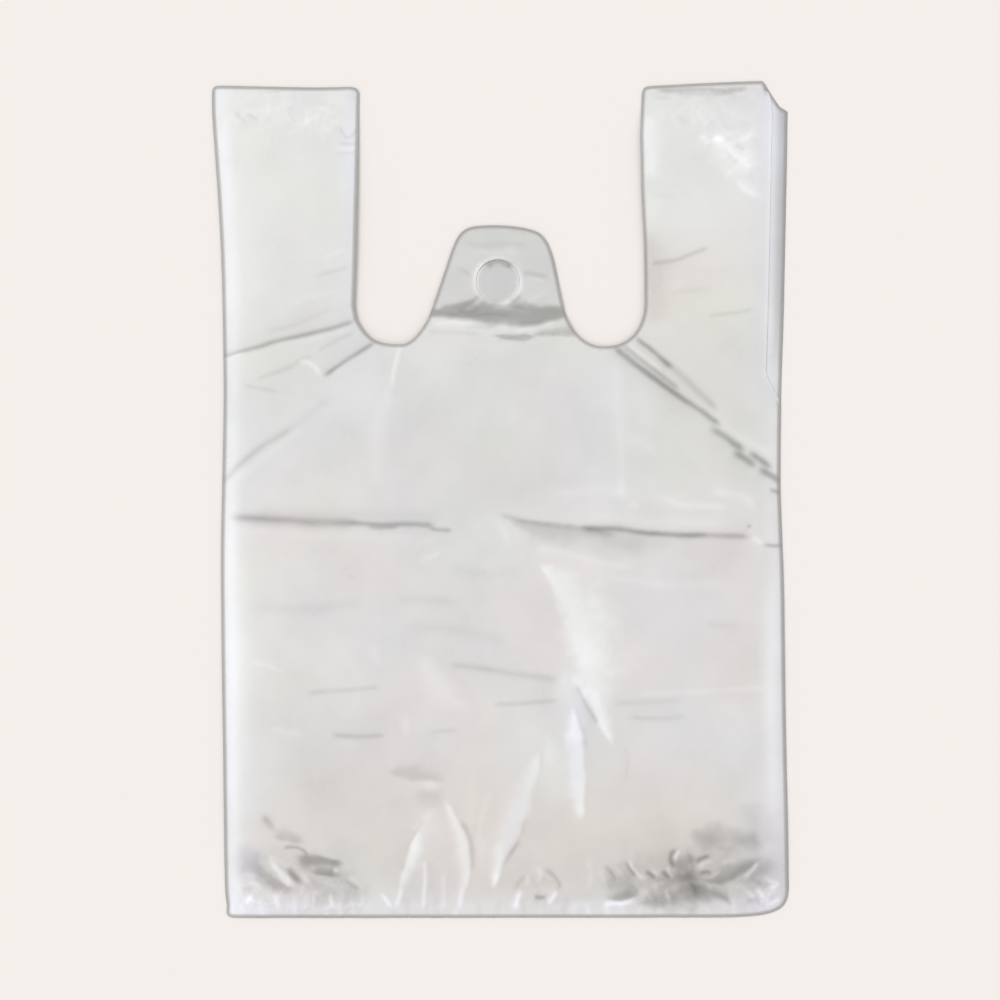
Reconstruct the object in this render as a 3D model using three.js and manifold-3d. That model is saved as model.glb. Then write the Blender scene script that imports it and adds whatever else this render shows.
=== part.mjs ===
// A small vest-style plastic carrier bag, lying flat on its back panel.
//
// The bag is one piece of blown film. It leaves the extruder as a tube, its two sides are tucked in
// as gussets, and the flattened tube is welded across both ends. A die then cuts the mouth through
// every ply, which leaves two handle loops and, between them, a tab with a hanging hole. The hole's
// slug stays in it, held by a short tie at the bottom.
//
// Millimetres, +X to the bag's right, +Y towards the handles, +Z up. The origin is under the middle.

import * as THREE from "three";
import { mergeVertices } from "three/addons/utils/BufferGeometryUtils.js";
import Module from "manifold-3d";

const wasm = await Module();
wasm.setup();

// --- Driving dimensions -----------------------------------------------------------------------

const BAG_WIDTH = 203; // across the two folded sides of the body
const BAG_LENGTH = 300; // from the bottom edge to the top of the handles
const GUSSET_DEPTH = 58; // how far each side is tucked in
const FILM = 0.4; // wall thickness, many times the real film's so that the solid has a body
const PLY_GAP = 0.45; // air between two plies where the bag isn't pressed
const PUFF = 3; // how far the front panel arches up over the middle of the bag

const WELD_INSET = 2; // from an end of the tube to its weld
const WELD_WIDTH = 3;
const WELD_PRESS = 0.55; // the stack's height at a weld, as a share of its free height
const PRESSED_UNTIL = 8; // how far from an end the plies stay pressed together
const FREE_FROM = 30; // and from where on they lie free
const ARCHED_FROM = 75; // how far from the bottom edge the front panel reaches its arch

const MOUTH_DEPTH = 94; // from the top of the handles to the bottom of the notches
const TAB_BEND = { from: 7, to: 30 }; // above the notches, where the tab slopes down to its back ply
const TAB_HOLE = { x: -1.2, y: 229, radius: 8, kerf: 0.8, tieAngle: Math.PI / 3 };
const HANDLE_SPLAY = 2.5; // how far each handle's outer edge leans out at the top
const FOOT_SHIFT = 2.5; // how far the bottom edge lies to the right of the mouth
const FOLDED_CORNER = { across: 8.5, down: 9.5 }; // of the right handle, turned in along a slant

const STATION_STEP = 12; // spacing of the sections along the tube
const PANEL_SPANS = 12; // of the front panel, across the bag
const FOLD_SIDES = 3; // of the half circle round which the film turns at a fold
const CUT_CLEAR = 20; // how far a cutter reaches past what it cuts

// --- Levels of the four plies -----------------------------------------------------------------

const PITCH = FILM + PLY_GAP;
const FOLD_RADIUS = PITCH / 2; // of the film's middle surface, round a fold
const BACK_LEVEL = FILM / 2;
const FRONT_LEVEL = BACK_LEVEL + 3 * PITCH;
const FOLD_LEVELS = [0.5, 1.5, 2.5].map((n) => BACK_LEVEL + n * PITCH); // back, gusset, front
const NOTCH_LEVEL = BAG_LENGTH - MOUTH_DEPTH; // the bottom of the two notches

// --- Small helpers ----------------------------------------------------------------------------

const { smoothstep, lerp } = THREE.MathUtils;

function solidOf(geometry) {
  geometry.deleteAttribute("normal");
  geometry.deleteAttribute("uv");
  const merged = mergeVertices(geometry, 1e-4);
  return new wasm.Manifold(
    new wasm.Mesh({
      numProp: 3,
      vertProperties: merged.attributes.position.array,
      triVerts: new Uint32Array(merged.index.array),
    }),
  );
}

function geometryOf(solid) {
  const mesh = solid.getMesh();
  const geometry = new THREE.BufferGeometry();
  geometry.setAttribute("position", new THREE.BufferAttribute(mesh.vertProperties, 3));
  geometry.setIndex(new THREE.BufferAttribute(mesh.triVerts, 1));
  geometry.computeVertexNormals();
  return geometry;
}

// A prism that stands through the whole bag, with the shape's outline seen from above.
function throughCut(shape) {
  const geometry = new THREE.ExtrudeGeometry(shape, {
    depth: 2 * CUT_CLEAR,
    bevelEnabled: false,
    curveSegments: 8,
  });
  geometry.translate(0, 0, -CUT_CLEAR);
  return solidOf(geometry);
}

// --- The film's section -----------------------------------------------------------------------

// One surface of the film in section, X across the bag and Y up. It runs along the front panel,
// round the right gusset, along the back panel and round the left gusset. side is +1 for the
// tube's outer surface and -1 for its inner one.
function contour(side) {
  const [backFold, gussetFold, frontFold] = FOLD_LEVELS;
  const out = FOLD_RADIUS + (side * FILM) / 2;
  const tucked = FOLD_RADIUS - (side * FILM) / 2;
  const edge = BAG_WIDTH / 2 - FOLD_RADIUS - FILM / 2;
  const inner = BAG_WIDTH / 2 - GUSSET_DEPTH + FOLD_RADIUS + FILM / 2;
  const points = [];

  // A half turn round (x, y). bulge is +1 to the right, and travel is +1 downwards.
  const fold = (x, y, radius, bulge, travel) => {
    for (let i = 0; i <= FOLD_SIDES; i++) {
      const angle = travel * Math.PI * (0.5 - i / FOLD_SIDES);
      points.push(new THREE.Vector2(x + bulge * radius * Math.cos(angle), y + radius * Math.sin(angle)));
    }
  };

  for (let i = 1; i < PANEL_SPANS; i++) {
    points.push(new THREE.Vector2(lerp(-edge, edge, i / PANEL_SPANS), frontFold + out));
  }
  fold(edge, frontFold, out, +1, +1);
  fold(inner, gussetFold, tucked, -1, +1);
  fold(edge, backFold, out, +1, +1);
  fold(-edge, backFold, out, -1, -1);
  fold(-inner, gussetFold, tucked, +1, -1);
  fold(-edge, frontFold, out, -1, -1);
  return points;
}

// --- How the flattened tube lies --------------------------------------------------------------

// The stack's height at y, as a share of its free height: the plies are pressed at the two welds.
function pressAt(y) {
  const fromEnd = Math.min(y, BAG_LENGTH - y);
  return lerp(WELD_PRESS, 1, smoothstep(fromEnd, PRESSED_UNTIL, FREE_FROM));
}

// How far the front panel stands above its flat place: arched over the body and the mouth, back
// down along the handles, and on the tab as low as the second ply.
function liftAt(x, y) {
  const across = 1 - ((2 * x) / BAG_WIDTH) ** 2;
  const rise = smoothstep(y, PRESSED_UNTIL, ARCHED_FROM);
  const fall = 1 - smoothstep(y, NOTCH_LEVEL, BAG_LENGTH - PRESSED_UNTIL);
  const beside = 1 - smoothstep(Math.abs(x), 26, 40);
  const tab = smoothstep(y, NOTCH_LEVEL + TAB_BEND.from, NOTCH_LEVEL + TAB_BEND.to) * beside;
  return lerp(PUFF * across * rise * fall, -2 * PITCH, tab);
}

// The handles lean outwards a little above the mouth, and the body leans below it.
function driftAt(x, y) {
  const above = Math.max(0, (y - NOTCH_LEVEL) / MOUTH_DEPTH);
  const below = Math.max(0, 1 - y / NOTCH_LEVEL);
  const onHandle = smoothstep(Math.abs(x), 60, 100);
  return Math.sign(x) * HANDLE_SPLAY * above ** 2 * onHandle + FOOT_SHIFT * below;
}

function settle(geometry) {
  const position = geometry.attributes.position;
  const frontUnderside = FRONT_LEVEL - FILM / 2;
  for (let i = 0; i < position.count; i++) {
    const x = position.getX(i);
    const y = position.getY(i);
    const z = position.getZ(i);
    const onFront = smoothstep(z, frontUnderside - PLY_GAP, frontUnderside);
    position.setX(i, x + driftAt(x, y));
    position.setZ(i, z * pressAt(y) + liftAt(x, y) * onFront);
  }
  return geometry;
}

// The tube's wall as one closed surface: rings of the outer and the inner contour at each station
// along Y, and a rim that joins the two contours at each end.
function gussetedTube() {
  const outer = contour(+1);
  const inner = contour(-1);
  const around = outer.length;
  const stations = BAG_LENGTH / STATION_STEP;
  const vertices = [];
  const triangles = [];
  const at = (side, station, i) => (2 * station + side) * around + (i % around);
  const quad = (a, b, c, d) => triangles.push(a, b, c, a, c, d);

  for (let station = 0; station <= stations; station++) {
    for (const point of [...outer, ...inner]) {
      vertices.push(point.x, station * STATION_STEP, point.y);
    }
  }
  for (let i = 0; i < around; i++) {
    for (let s = 0; s < stations; s++) {
      quad(at(0, s, i), at(0, s, i + 1), at(0, s + 1, i + 1), at(0, s + 1, i));
      quad(at(1, s, i), at(1, s + 1, i), at(1, s + 1, i + 1), at(1, s, i + 1));
    }
    quad(at(0, 0, i), at(1, 0, i), at(1, 0, i + 1), at(0, 0, i + 1));
    quad(at(0, stations, i), at(0, stations, i + 1), at(1, stations, i + 1), at(1, stations, i));
  }
  const geometry = new THREE.BufferGeometry();
  geometry.setAttribute("position", new THREE.Float32BufferAttribute(vertices, 3));
  geometry.setIndex(triangles);
  return solidOf(settle(geometry));
}

// --- Welds ------------------------------------------------------------------------------------

// A weld fuses every ply along a straight strip. It lies between the mid-planes of the outer plies.
function weld(from, to) {
  const low = BACK_LEVEL * WELD_PRESS;
  const high = FRONT_LEVEL * WELD_PRESS;
  const run = new THREE.Vector2().subVectors(to, from);
  const geometry = new THREE.BoxGeometry(run.length(), WELD_WIDTH, high - low);
  geometry.rotateZ(run.angle());
  geometry.translate((from.x + to.x) / 2, (from.y + to.y) / 2, (low + high) / 2);
  return solidOf(geometry);
}

function welds() {
  const side = BAG_WIDTH / 2 - FILM;
  const bottom = WELD_INSET + WELD_WIDTH / 2;
  const top = BAG_LENGTH - bottom;
  const splayed = side + HANDLE_SPLAY * 0.9;
  const inner = BAG_WIDTH / 5;
  const across = (x0, x1, y) => weld(new THREE.Vector2(x0, y), new THREE.Vector2(x1, y));
  return [
    across(-side + FOOT_SHIFT, side + FOOT_SHIFT, bottom),
    across(-splayed, -inner, top),
    across(inner, splayed - FOLDED_CORNER.across, top),
    cornerFold(),
  ];
}

// --- The die cuts -----------------------------------------------------------------------------

// The mouth: down one handle, round a notch, over the tab, round the other notch, up the other
// handle. The film was not quite square in the press, so the two notches differ a little.
function mouthShape() {
  const above = BAG_LENGTH + CUT_CLEAR;
  const notch = NOTCH_LEVEL;
  const mouth = new THREE.Shape();
  mouth.moveTo(-51, above);
  mouth.lineTo(-53, notch + 13);
  mouth.bezierCurveTo(-53, notch + 5, -48, notch, -43, notch);
  mouth.lineTo(-36.5, notch);
  mouth.bezierCurveTo(-32, notch, -27.5, notch + 8, -25, notch + 18);
  mouth.lineTo(-18.5, notch + 36);
  mouth.bezierCurveTo(-16.5, notch + 41.5, -12, notch + 43, -3, notch + 43);
  mouth.bezierCurveTo(8, notch + 43, 14, notch + 41, 16.5, notch + 35);
  mouth.lineTo(21.5, notch + 16);
  mouth.bezierCurveTo(25, notch + 5, 31, notch, 37, notch);
  mouth.bezierCurveTo(46, notch, 51.5, notch + 8, 51.5, notch + 18);
  mouth.lineTo(50.5, above);
  mouth.closePath();
  return mouth;
}

// The slit round the slug, open at the bottom where the tie is.
function slugSlit() {
  const { x, y, radius, kerf, tieAngle } = TAB_HOLE;
  const start = -Math.PI / 2 + tieAngle / 2;
  const end = start + 2 * Math.PI - tieAngle;
  const slit = new THREE.Shape();
  slit.absarc(x, y, radius + kerf / 2, start, end, false);
  slit.absarc(x, y, radius - kerf / 2, end, start, true);
  slit.closePath();
  return slit;
}

// The two ends of the slant along which the corner of the right handle is turned in.
function cornerLine() {
  const side = BAG_WIDTH / 2 + HANDLE_SPLAY;
  return [
    new THREE.Vector2(side - FOLDED_CORNER.across, BAG_LENGTH),
    new THREE.Vector2(side, BAG_LENGTH - FOLDED_CORNER.down),
  ];
}

// The film is closed along that fold, as it is along a weld.
function cornerFold() {
  const [from, to] = cornerLine();
  const inwards = new THREE.Vector2(-FOLDED_CORNER.down, -FOLDED_CORNER.across).setLength(WELD_WIDTH / 2);
  const along = new THREE.Vector2().subVectors(to, from).setLength(1);
  return weld(from.add(inwards).add(along), to.add(inwards).sub(along));
}

function cornerShape() {
  const [from, to] = cornerLine();
  const slant = new THREE.Vector2().subVectors(to, from).setLength(CUT_CLEAR);
  from.sub(slant);
  to.add(slant);
  const corner = new THREE.Shape();
  corner.moveTo(from.x, from.y);
  corner.lineTo(to.x, to.y);
  corner.lineTo(to.x, from.y);
  corner.closePath();
  return corner;
}

// --- The bag ----------------------------------------------------------------------------------

function carrierBag() {
  let film = gussetedTube();
  for (const strip of welds()) {
    film = film.add(strip);
  }
  for (const shape of [mouthShape(), slugSlit(), cornerShape()]) {
    film = film.subtract(throughCut(shape));
  }
  const geometry = geometryOf(film);
  geometry.center();
  geometry.translate(0, 0, geometry.boundingBox.max.z);

  const material = new THREE.MeshStandardMaterial({
    color: 0xdcdcda,
    roughness: 0.35,
    metalness: 0,
    transparent: true,
    opacity: 0.85,
  });
  const bag = new THREE.Mesh(geometry, material);
  bag.name = "carrier_bag";
  return bag;
}

const bag = new THREE.Group();
bag.add(carrierBag());

export default bag;
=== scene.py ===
"""A small vest-style carrier bag of thin white film, lying flat on a pale surface and seen from above.

The bag is one tube of film: front panel, right gusset, back panel, left gusset. All lengths below are
in millimetres in the row's frame (+X right, +Y towards the handles, +Z up) until the mesh is made.
"""

import math

import bpy
import numpy as np
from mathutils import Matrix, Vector, noise
from mathutils.geometry import delaunay_2d_cdt


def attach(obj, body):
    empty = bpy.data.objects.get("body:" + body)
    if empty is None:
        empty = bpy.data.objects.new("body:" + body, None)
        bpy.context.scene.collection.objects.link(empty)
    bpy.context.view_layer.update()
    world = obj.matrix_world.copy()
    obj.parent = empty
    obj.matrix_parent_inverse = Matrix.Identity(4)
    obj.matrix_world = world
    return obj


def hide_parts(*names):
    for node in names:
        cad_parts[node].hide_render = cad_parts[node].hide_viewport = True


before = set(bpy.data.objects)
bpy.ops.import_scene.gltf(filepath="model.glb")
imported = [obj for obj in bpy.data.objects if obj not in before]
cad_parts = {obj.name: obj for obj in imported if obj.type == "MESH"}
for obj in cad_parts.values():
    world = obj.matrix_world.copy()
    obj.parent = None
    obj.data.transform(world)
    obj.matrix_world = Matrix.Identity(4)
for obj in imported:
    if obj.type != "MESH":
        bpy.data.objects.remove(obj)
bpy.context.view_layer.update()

MM = 0.001

# --- The film and its mesh ---------------------------------------------------------------------

OUTLINE_STEP = 0.9
CREASED_STEP = 0.64  # spacing of the front panel's mesh where it is creased
PLAIN_STEP = 1.7  # and where it is smooth
UNDER_STEP = 4.0  # spacing of the mesh of the plies under the front panel
BAND_STEP = 0.7  # and of their part that shows beside it
GUSSET_FOLD_X = 43.5  # where the inner folds of the gussets lie, left and right of the middle
FLOOR_CLEAR = 0.05  # how far the lowest film stays above the floor

# --- The outline -------------------------------------------------------------------------------

BOTTOM_Y = -150.9
LEFT_TOP_Y = 149.2
RIGHT_TOP_Y = 150.0
NOTCH_Y = 56.0  # the bottom of the two notches
LEFT_SIDE = [(-99.0, -146), (-99.6, -137), (-100.1, -97), (-100.75, -50), (-100.9, -15), (-100.0, 30),
             (-100.1, 54), (-100.7, 83), (-101.7, 104), (-102.9, 122), (-104.1, 138), (-104.3, 146)]
RIGHT_SIDE = [(103.7, -141), (103.5, -132), (103.1, -110), (102.35, -72), (101.8, -30), (101.0, -8),
              (100.6, 7), (100.9, 36), (101.9, 72), (102.6, 105), (103.3, 140)]
SLANT = [(102.3, 140.7), (100.6, 141.7), (99.3, 143.6), (96.9, 147.3), (95.3, RIGHT_TOP_Y)]
FOLD_BY_SLANT = [(97.6, 140), (97.2, 145), (95.2, RIGHT_TOP_Y)]  # the front panel's fold beside it
BAND_WIDTH = 5.6  # the front panel's fold lies this far inside the back panel's, along the right handle
BAND_FROM_Y = 33  # from here up
BAND_INSET = (BAND_FROM_Y, BAND_FROM_Y + 14)  # over this height the fold moves in


def smoothstep(x, lo, hi):
    """0 up to lo and 1 from hi on, with a smooth change between them."""
    t = np.clip((np.asarray(x, float) - lo) / (hi - lo), 0, 1)
    return t * t * (3 - 2 * t)


def bump(value, middle, reach):
    """1 where the value is at the middle, falling off softly over the reach."""
    return np.exp(-(((value - middle) / reach) ** 2))


def smooth_path(points, per_span=10):
    """A Catmull-Rom curve through the points."""
    p = np.array(points, float)
    p = np.vstack([2 * p[0] - p[1], p, 2 * p[-1] - p[-2]])
    t = np.linspace(0, 1, per_span, endpoint=False)[:, None]
    spans = []
    for a, b, c, d in zip(p[:-3], p[1:-2], p[2:-1], p[3:]):
        spans.append(0.5 * (2 * b + (c - a) * t + (2 * a - 5 * b + 4 * c - d) * t**2
                            + (3 * b - a - 3 * c + d) * t**3))
    return np.vstack([*spans, p[-2:-1]])


def bezier(a, b, c, d, n=24):
    """A cubic Bezier curve from a to d, as n points."""
    t = np.linspace(0, 1, n)[:, None]
    a, b, c, d = (np.array(p, float) for p in (a, b, c, d))
    return (1 - t) ** 3 * a + 3 * t * (1 - t) ** 2 * b + 3 * t**2 * (1 - t) * c + t**3 * d


def arc(centre, radius, start, end, n=12):
    """An arc from one angle to another, in degrees, as n points."""
    angles = np.radians(np.linspace(start, end, n))
    return np.array(centre, float) + radius * np.column_stack([np.cos(angles), np.sin(angles)])


def side_x(side, y):
    """The x of the bag's left or right side at y."""
    line = smooth_path(side)
    return np.interp(y, line[:, 1], line[:, 0])


def band_inset(y):
    """How far the front panel's right fold lies inside the back panel's."""
    return BAND_WIDTH * smoothstep(y, *BAND_INSET)


def mouth_path():
    """The die cut from the top of the right handle, round the tab, to the top of the left one."""
    n = NOTCH_Y
    return np.vstack([
        [(50.8, RIGHT_TOP_Y - 4.2), (50.2, 132), (50.6, 112), (51.6, 92), (51.8, 80)],
        bezier((51.8, 71), (51.8, 62), (46.5, n - 0.6), (38, n - 0.7)),
        bezier((36.5, n - 0.7), (30, n - 0.6), (25.1, 61), (22.9, 68)),
        bezier((22.6, 69.2), (20.1, 79), (19.4, 92), (14.2, 95.8)),
        bezier((14, 96.1), (8.5, 99.2), (-5, 99.4), (-10.5, 98.4)),
        bezier((-10.9, 98.3), (-15.2, 97.0), (-16.2, 94), (-17.8, 90)),
        bezier((-18.1, 89.2), (-21.2, 80), (-23.1, 74), (-25.4, 67.6)),
        bezier((-25.7, 66.8), (-27.8, 62), (-32.0, n), (-36, n)),
        bezier((-37, n), (-46, n), (-48.4, 58.6), (-52.2, 65.3)),
        [(-53.0, 70), (-52.6, 82), (-52.2, 100), (-51.7, 120), (-51.2, LEFT_TOP_Y - 3.5)],
    ])


def outline(front):
    """The closed outline of the front panel, or of the back one, and the name of each point's part of it.

    It runs anticlockwise from the bottom left. All its points but those of the right side agree in both.
    """
    foot, left_top, right_top = BOTTOM_Y, LEFT_TOP_Y, RIGHT_TOP_Y
    parts = [
        ("foot", arc((-97.0, foot + 2.2), 2.2, 200, 268, 6)),
        ("foot", bezier((-94, foot - 0.1), (-30, foot - 0.1), (40, foot), (80, foot + 0.1))),
        ("foot", bezier((84, foot + 0.2), (97, foot + 0.6), (103.4, foot + 2), (103.7, -141.5), 16)),
        ("right", smooth_path(RIGHT_SIDE)),
        ("slant", SLANT),
        ("top", bezier((94.2, right_top + 1.0), (85, right_top + 0.9), (65, right_top - 0.2),
                       (54, right_top - 0.8), 12)),
        ("top", bezier((53.2, right_top - 0.9), (51.5, right_top - 1.1), (50.9, right_top - 2.0),
                       (50.8, right_top - 4), 6)),
        ("mouth", mouth_path()),
        ("top", bezier((-51.1, left_top - 3.3), (-51.2, left_top - 1.2), (-52, left_top - 0.4),
                       (-54.5, left_top - 0.3), 6)),
        ("top", bezier((-55.5, left_top - 0.3), (-70, left_top - 0.9), (-85, left_top),
                       (-100.5, left_top + 0.1), 14)),
        ("top", arc((-102.5, left_top - 1.7), 1.8, 80, 175, 5)),
        ("left", smooth_path(LEFT_SIDE)[::-1]),
    ]
    lines = [spaced(part, OUTLINE_STEP) for _, part in parts]
    points = np.vstack(lines)
    names = np.repeat([name for name, _ in parts], [len(line) for line in lines])
    if front:
        right = names == "right"
        points[right, 0] -= band_inset(points[right, 1])
        slant = names == "slant"
        fold_x, fold_y = zip(*FOLD_BY_SLANT)
        points[slant, 0] = np.interp(points[slant, 1], fold_y, fold_x)
    return points, names


def spaced(line, step):
    """The line again, with even spacing of about step, both ends kept."""
    line = np.asarray(line, float)
    run = np.concatenate([[0], np.cumsum(np.hypot(*np.diff(line, axis=0).T))])
    at = np.linspace(0, run[-1], max(2, round(run[-1] / step) + 1))
    return np.column_stack([np.interp(at, run, line[:, k]) for k in (0, 1)])


# --- Distances ---------------------------------------------------------------------------------


def across_and_along(points, line):
    """Each point's signed distance from a line, positive to its left, how far along the line it is, and
    the line's length."""
    best = np.full(len(points), np.inf)
    side = np.zeros(len(points))
    run = np.zeros(len(points))
    start = 0.0
    for a, b in zip(line[:-1], line[1:]):
        d = b - a
        length = np.hypot(*d)
        rel = points - a
        t = np.clip(rel @ d / length**2, 0, 1)
        away = np.hypot(rel[:, 0] - t * d[0], rel[:, 1] - t * d[1])
        nearer = away < best
        best = np.where(nearer, away, best)
        side = np.where(nearer, np.sign(d[0] * rel[:, 1] - d[1] * rel[:, 0]), side)
        run = np.where(nearer, start + t * length, run)
        start += length
    return best * side, run, start


def distance_to(points, line, reach):
    """Unsigned distance to a line, exact up to reach."""
    best = np.full(len(points), np.inf)
    for a, b in zip(line[:-1], line[1:]):
        lo, hi = np.minimum(a, b) - reach, np.maximum(a, b) + reach
        near = np.flatnonzero(((points >= lo) & (points <= hi)).all(1))
        if not len(near):
            continue
        d = b - a
        rel = points[near] - a
        t = np.clip(rel @ d / max(d @ d, 1e-9), 0, 1)
        best[near] = np.minimum(best[near], np.hypot(rel[:, 0] - t * d[0], rel[:, 1] - t * d[1]))
    return best


def inside(points, polygon):
    """Which points lie inside a closed polygon."""
    x, y = points.T
    within = np.zeros(len(points), bool)
    for (x0, y0), (x1, y1) in zip(polygon, np.roll(polygon, -1, axis=0)):
        if y0 == y1:
            continue
        crosses = ((y0 > y) != (y1 > y)) & (x < (x1 - x0) * (y - y0) / (y1 - y0) + x0)
        within ^= crosses
    return within


def noise_at(points, size, seed, stretch=(1, 1)):
    """Smooth noise from about -1 to 1, with features of that size."""
    u = points[:, 0] / size / stretch[0]
    v = points[:, 1] / size / stretch[1]
    return np.array([noise.noise((a, b, seed)) for a, b in zip(u, v)])


# --- Flat regions ------------------------------------------------------------------------------

TAB_HOLE = (-1.2, 78.7)
TAB_HOLE_RADIUS = 7.9
SLIT_FROM, SLIT_TO = -62, 242  # the slit's ends, in degrees; the slug is still tied between them
SLIT_POINTS = 84
SLIT_OPEN_AT = 100  # where the slit is widest, because the slug has sagged
KERF = 0.07  # its width where it is closed
GAP = 0.3  # and how much wider it is where it is widest
LINE_CLEAR = 0.3  # how far the grid's points stay from the slit and the folds
EDGE_CLEAR = 0.55  # and from the outline, as a share of the spacing


def slug_slit():
    """The thin slit round the slug in the tab, as a closed outline."""
    outer = arc(TAB_HOLE, TAB_HOLE_RADIUS, SLIT_FROM, SLIT_TO, SLIT_POINTS)
    angles = np.radians(np.linspace(SLIT_TO, SLIT_FROM, SLIT_POINTS))
    opened = np.maximum(0, np.cos(0.75 * (angles - math.radians(SLIT_OPEN_AT)))) ** 3
    radius = TAB_HOLE_RADIUS - KERF - GAP * opened
    slug = np.array(TAB_HOLE) + radius[:, None] * np.column_stack([np.cos(angles), np.sin(angles)])
    return np.vstack([outer, slug])


def lattice(polygon, step):
    """Points of a triangular lattice inside a polygon, none of them close to its edge."""
    lo, hi = polygon.min(0), polygon.max(0)
    rows = np.arange(lo[1], hi[1], step * math.sqrt(3) / 2)
    points = []
    for k, y in enumerate(rows):
        xs = np.arange(lo[0] + (k % 2) * step / 2, hi[0], step)
        points.append(np.column_stack([xs, np.full(len(xs), y)]))
    points = np.vstack(points)
    points = points[inside(points, polygon)]
    return points[distance_to(points, closed(polygon), step) > EDGE_CLEAR * min(step, OUTLINE_STEP)]


def two_lattices(polygon, fine, coarse, detailed):
    """A fine lattice where detailed says so, and a coarse one elsewhere."""
    close = lattice(polygon, fine)
    wide = lattice(polygon, coarse)
    return np.vstack([close[detailed(close)], wide[~detailed(wide)]])


def closed(polygon):
    """The polygon with its first point again at its end."""
    return np.vstack([polygon, polygon[:1]])


def nearest(points, target):
    """The index of the point nearest to the target."""
    return int(np.hypot(*(points - np.array(target)).T).argmin())


def gusset_folds(edge):
    """Each gusset's inner fold: the indices of its two end points on the outline, and its own points."""
    folds = []
    for x in (-GUSSET_FOLD_X, GUSSET_FOLD_X):
        low = nearest(edge, (x + 1.5, BOTTOM_Y))
        high = nearest(edge, (x, NOTCH_Y))
        line = smooth_path([edge[low], (x + 0.6, -60), (x - 0.2, 10), edge[high]])
        folds.append((low, spaced(line, 2 * OUTLINE_STEP)[1:-1], high))
    return folds


def triangulate(edge, folds, grid):
    """A flat mesh of the outline: its points, its faces, and each fold's points from end to end.

    Its first points are the outline's, then the folds', then the slit's, then the grid's.
    """
    slit = slug_slit()
    points = [edge]
    links = [(i, (i + 1) % len(edge)) for i in range(len(edge))]
    count = len(edge)
    chains = []
    for low, line, high in folds:
        chain = [low, *range(count, count + len(line)), high]
        links += list(zip(chain[:-1], chain[1:]))
        chains.append(chain)
        points.append(line)
        count += len(line)
    links += [(count + i, count + (i + 1) % len(slit)) for i in range(len(slit))]
    points.append(slit)
    for line in [closed(slit), *(line for _, line, _ in folds)]:
        grid = grid[distance_to(grid, line, 1) > LINE_CLEAR]
    everything = np.vstack([*points, grid])
    flat, _, faces, _, _, _ = delaunay_2d_cdt([Vector(p) for p in everything], links, [], 1, 1e-6, False)
    flat = np.array([tuple(p) for p in flat])
    faces = np.array([tuple(f) for f in faces])
    if len(flat) != len(everything):
        raise ValueError("two outline points coincide, so the seams would not match")
    middles = flat[faces].mean(1)
    return flat, faces[inside(middles, edge) & ~inside(middles, slit)], chains


# --- Creases -----------------------------------------------------------------------------------
# The creases are placed where the real bag has them. Each is its path, its half width, how far it stands
# up (or dips), and how much it whitens the film, as stress whitening and as a painted highlight, or
# darkens it, where the film is doubled or drawn thin and as painted shade in the fold.

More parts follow.
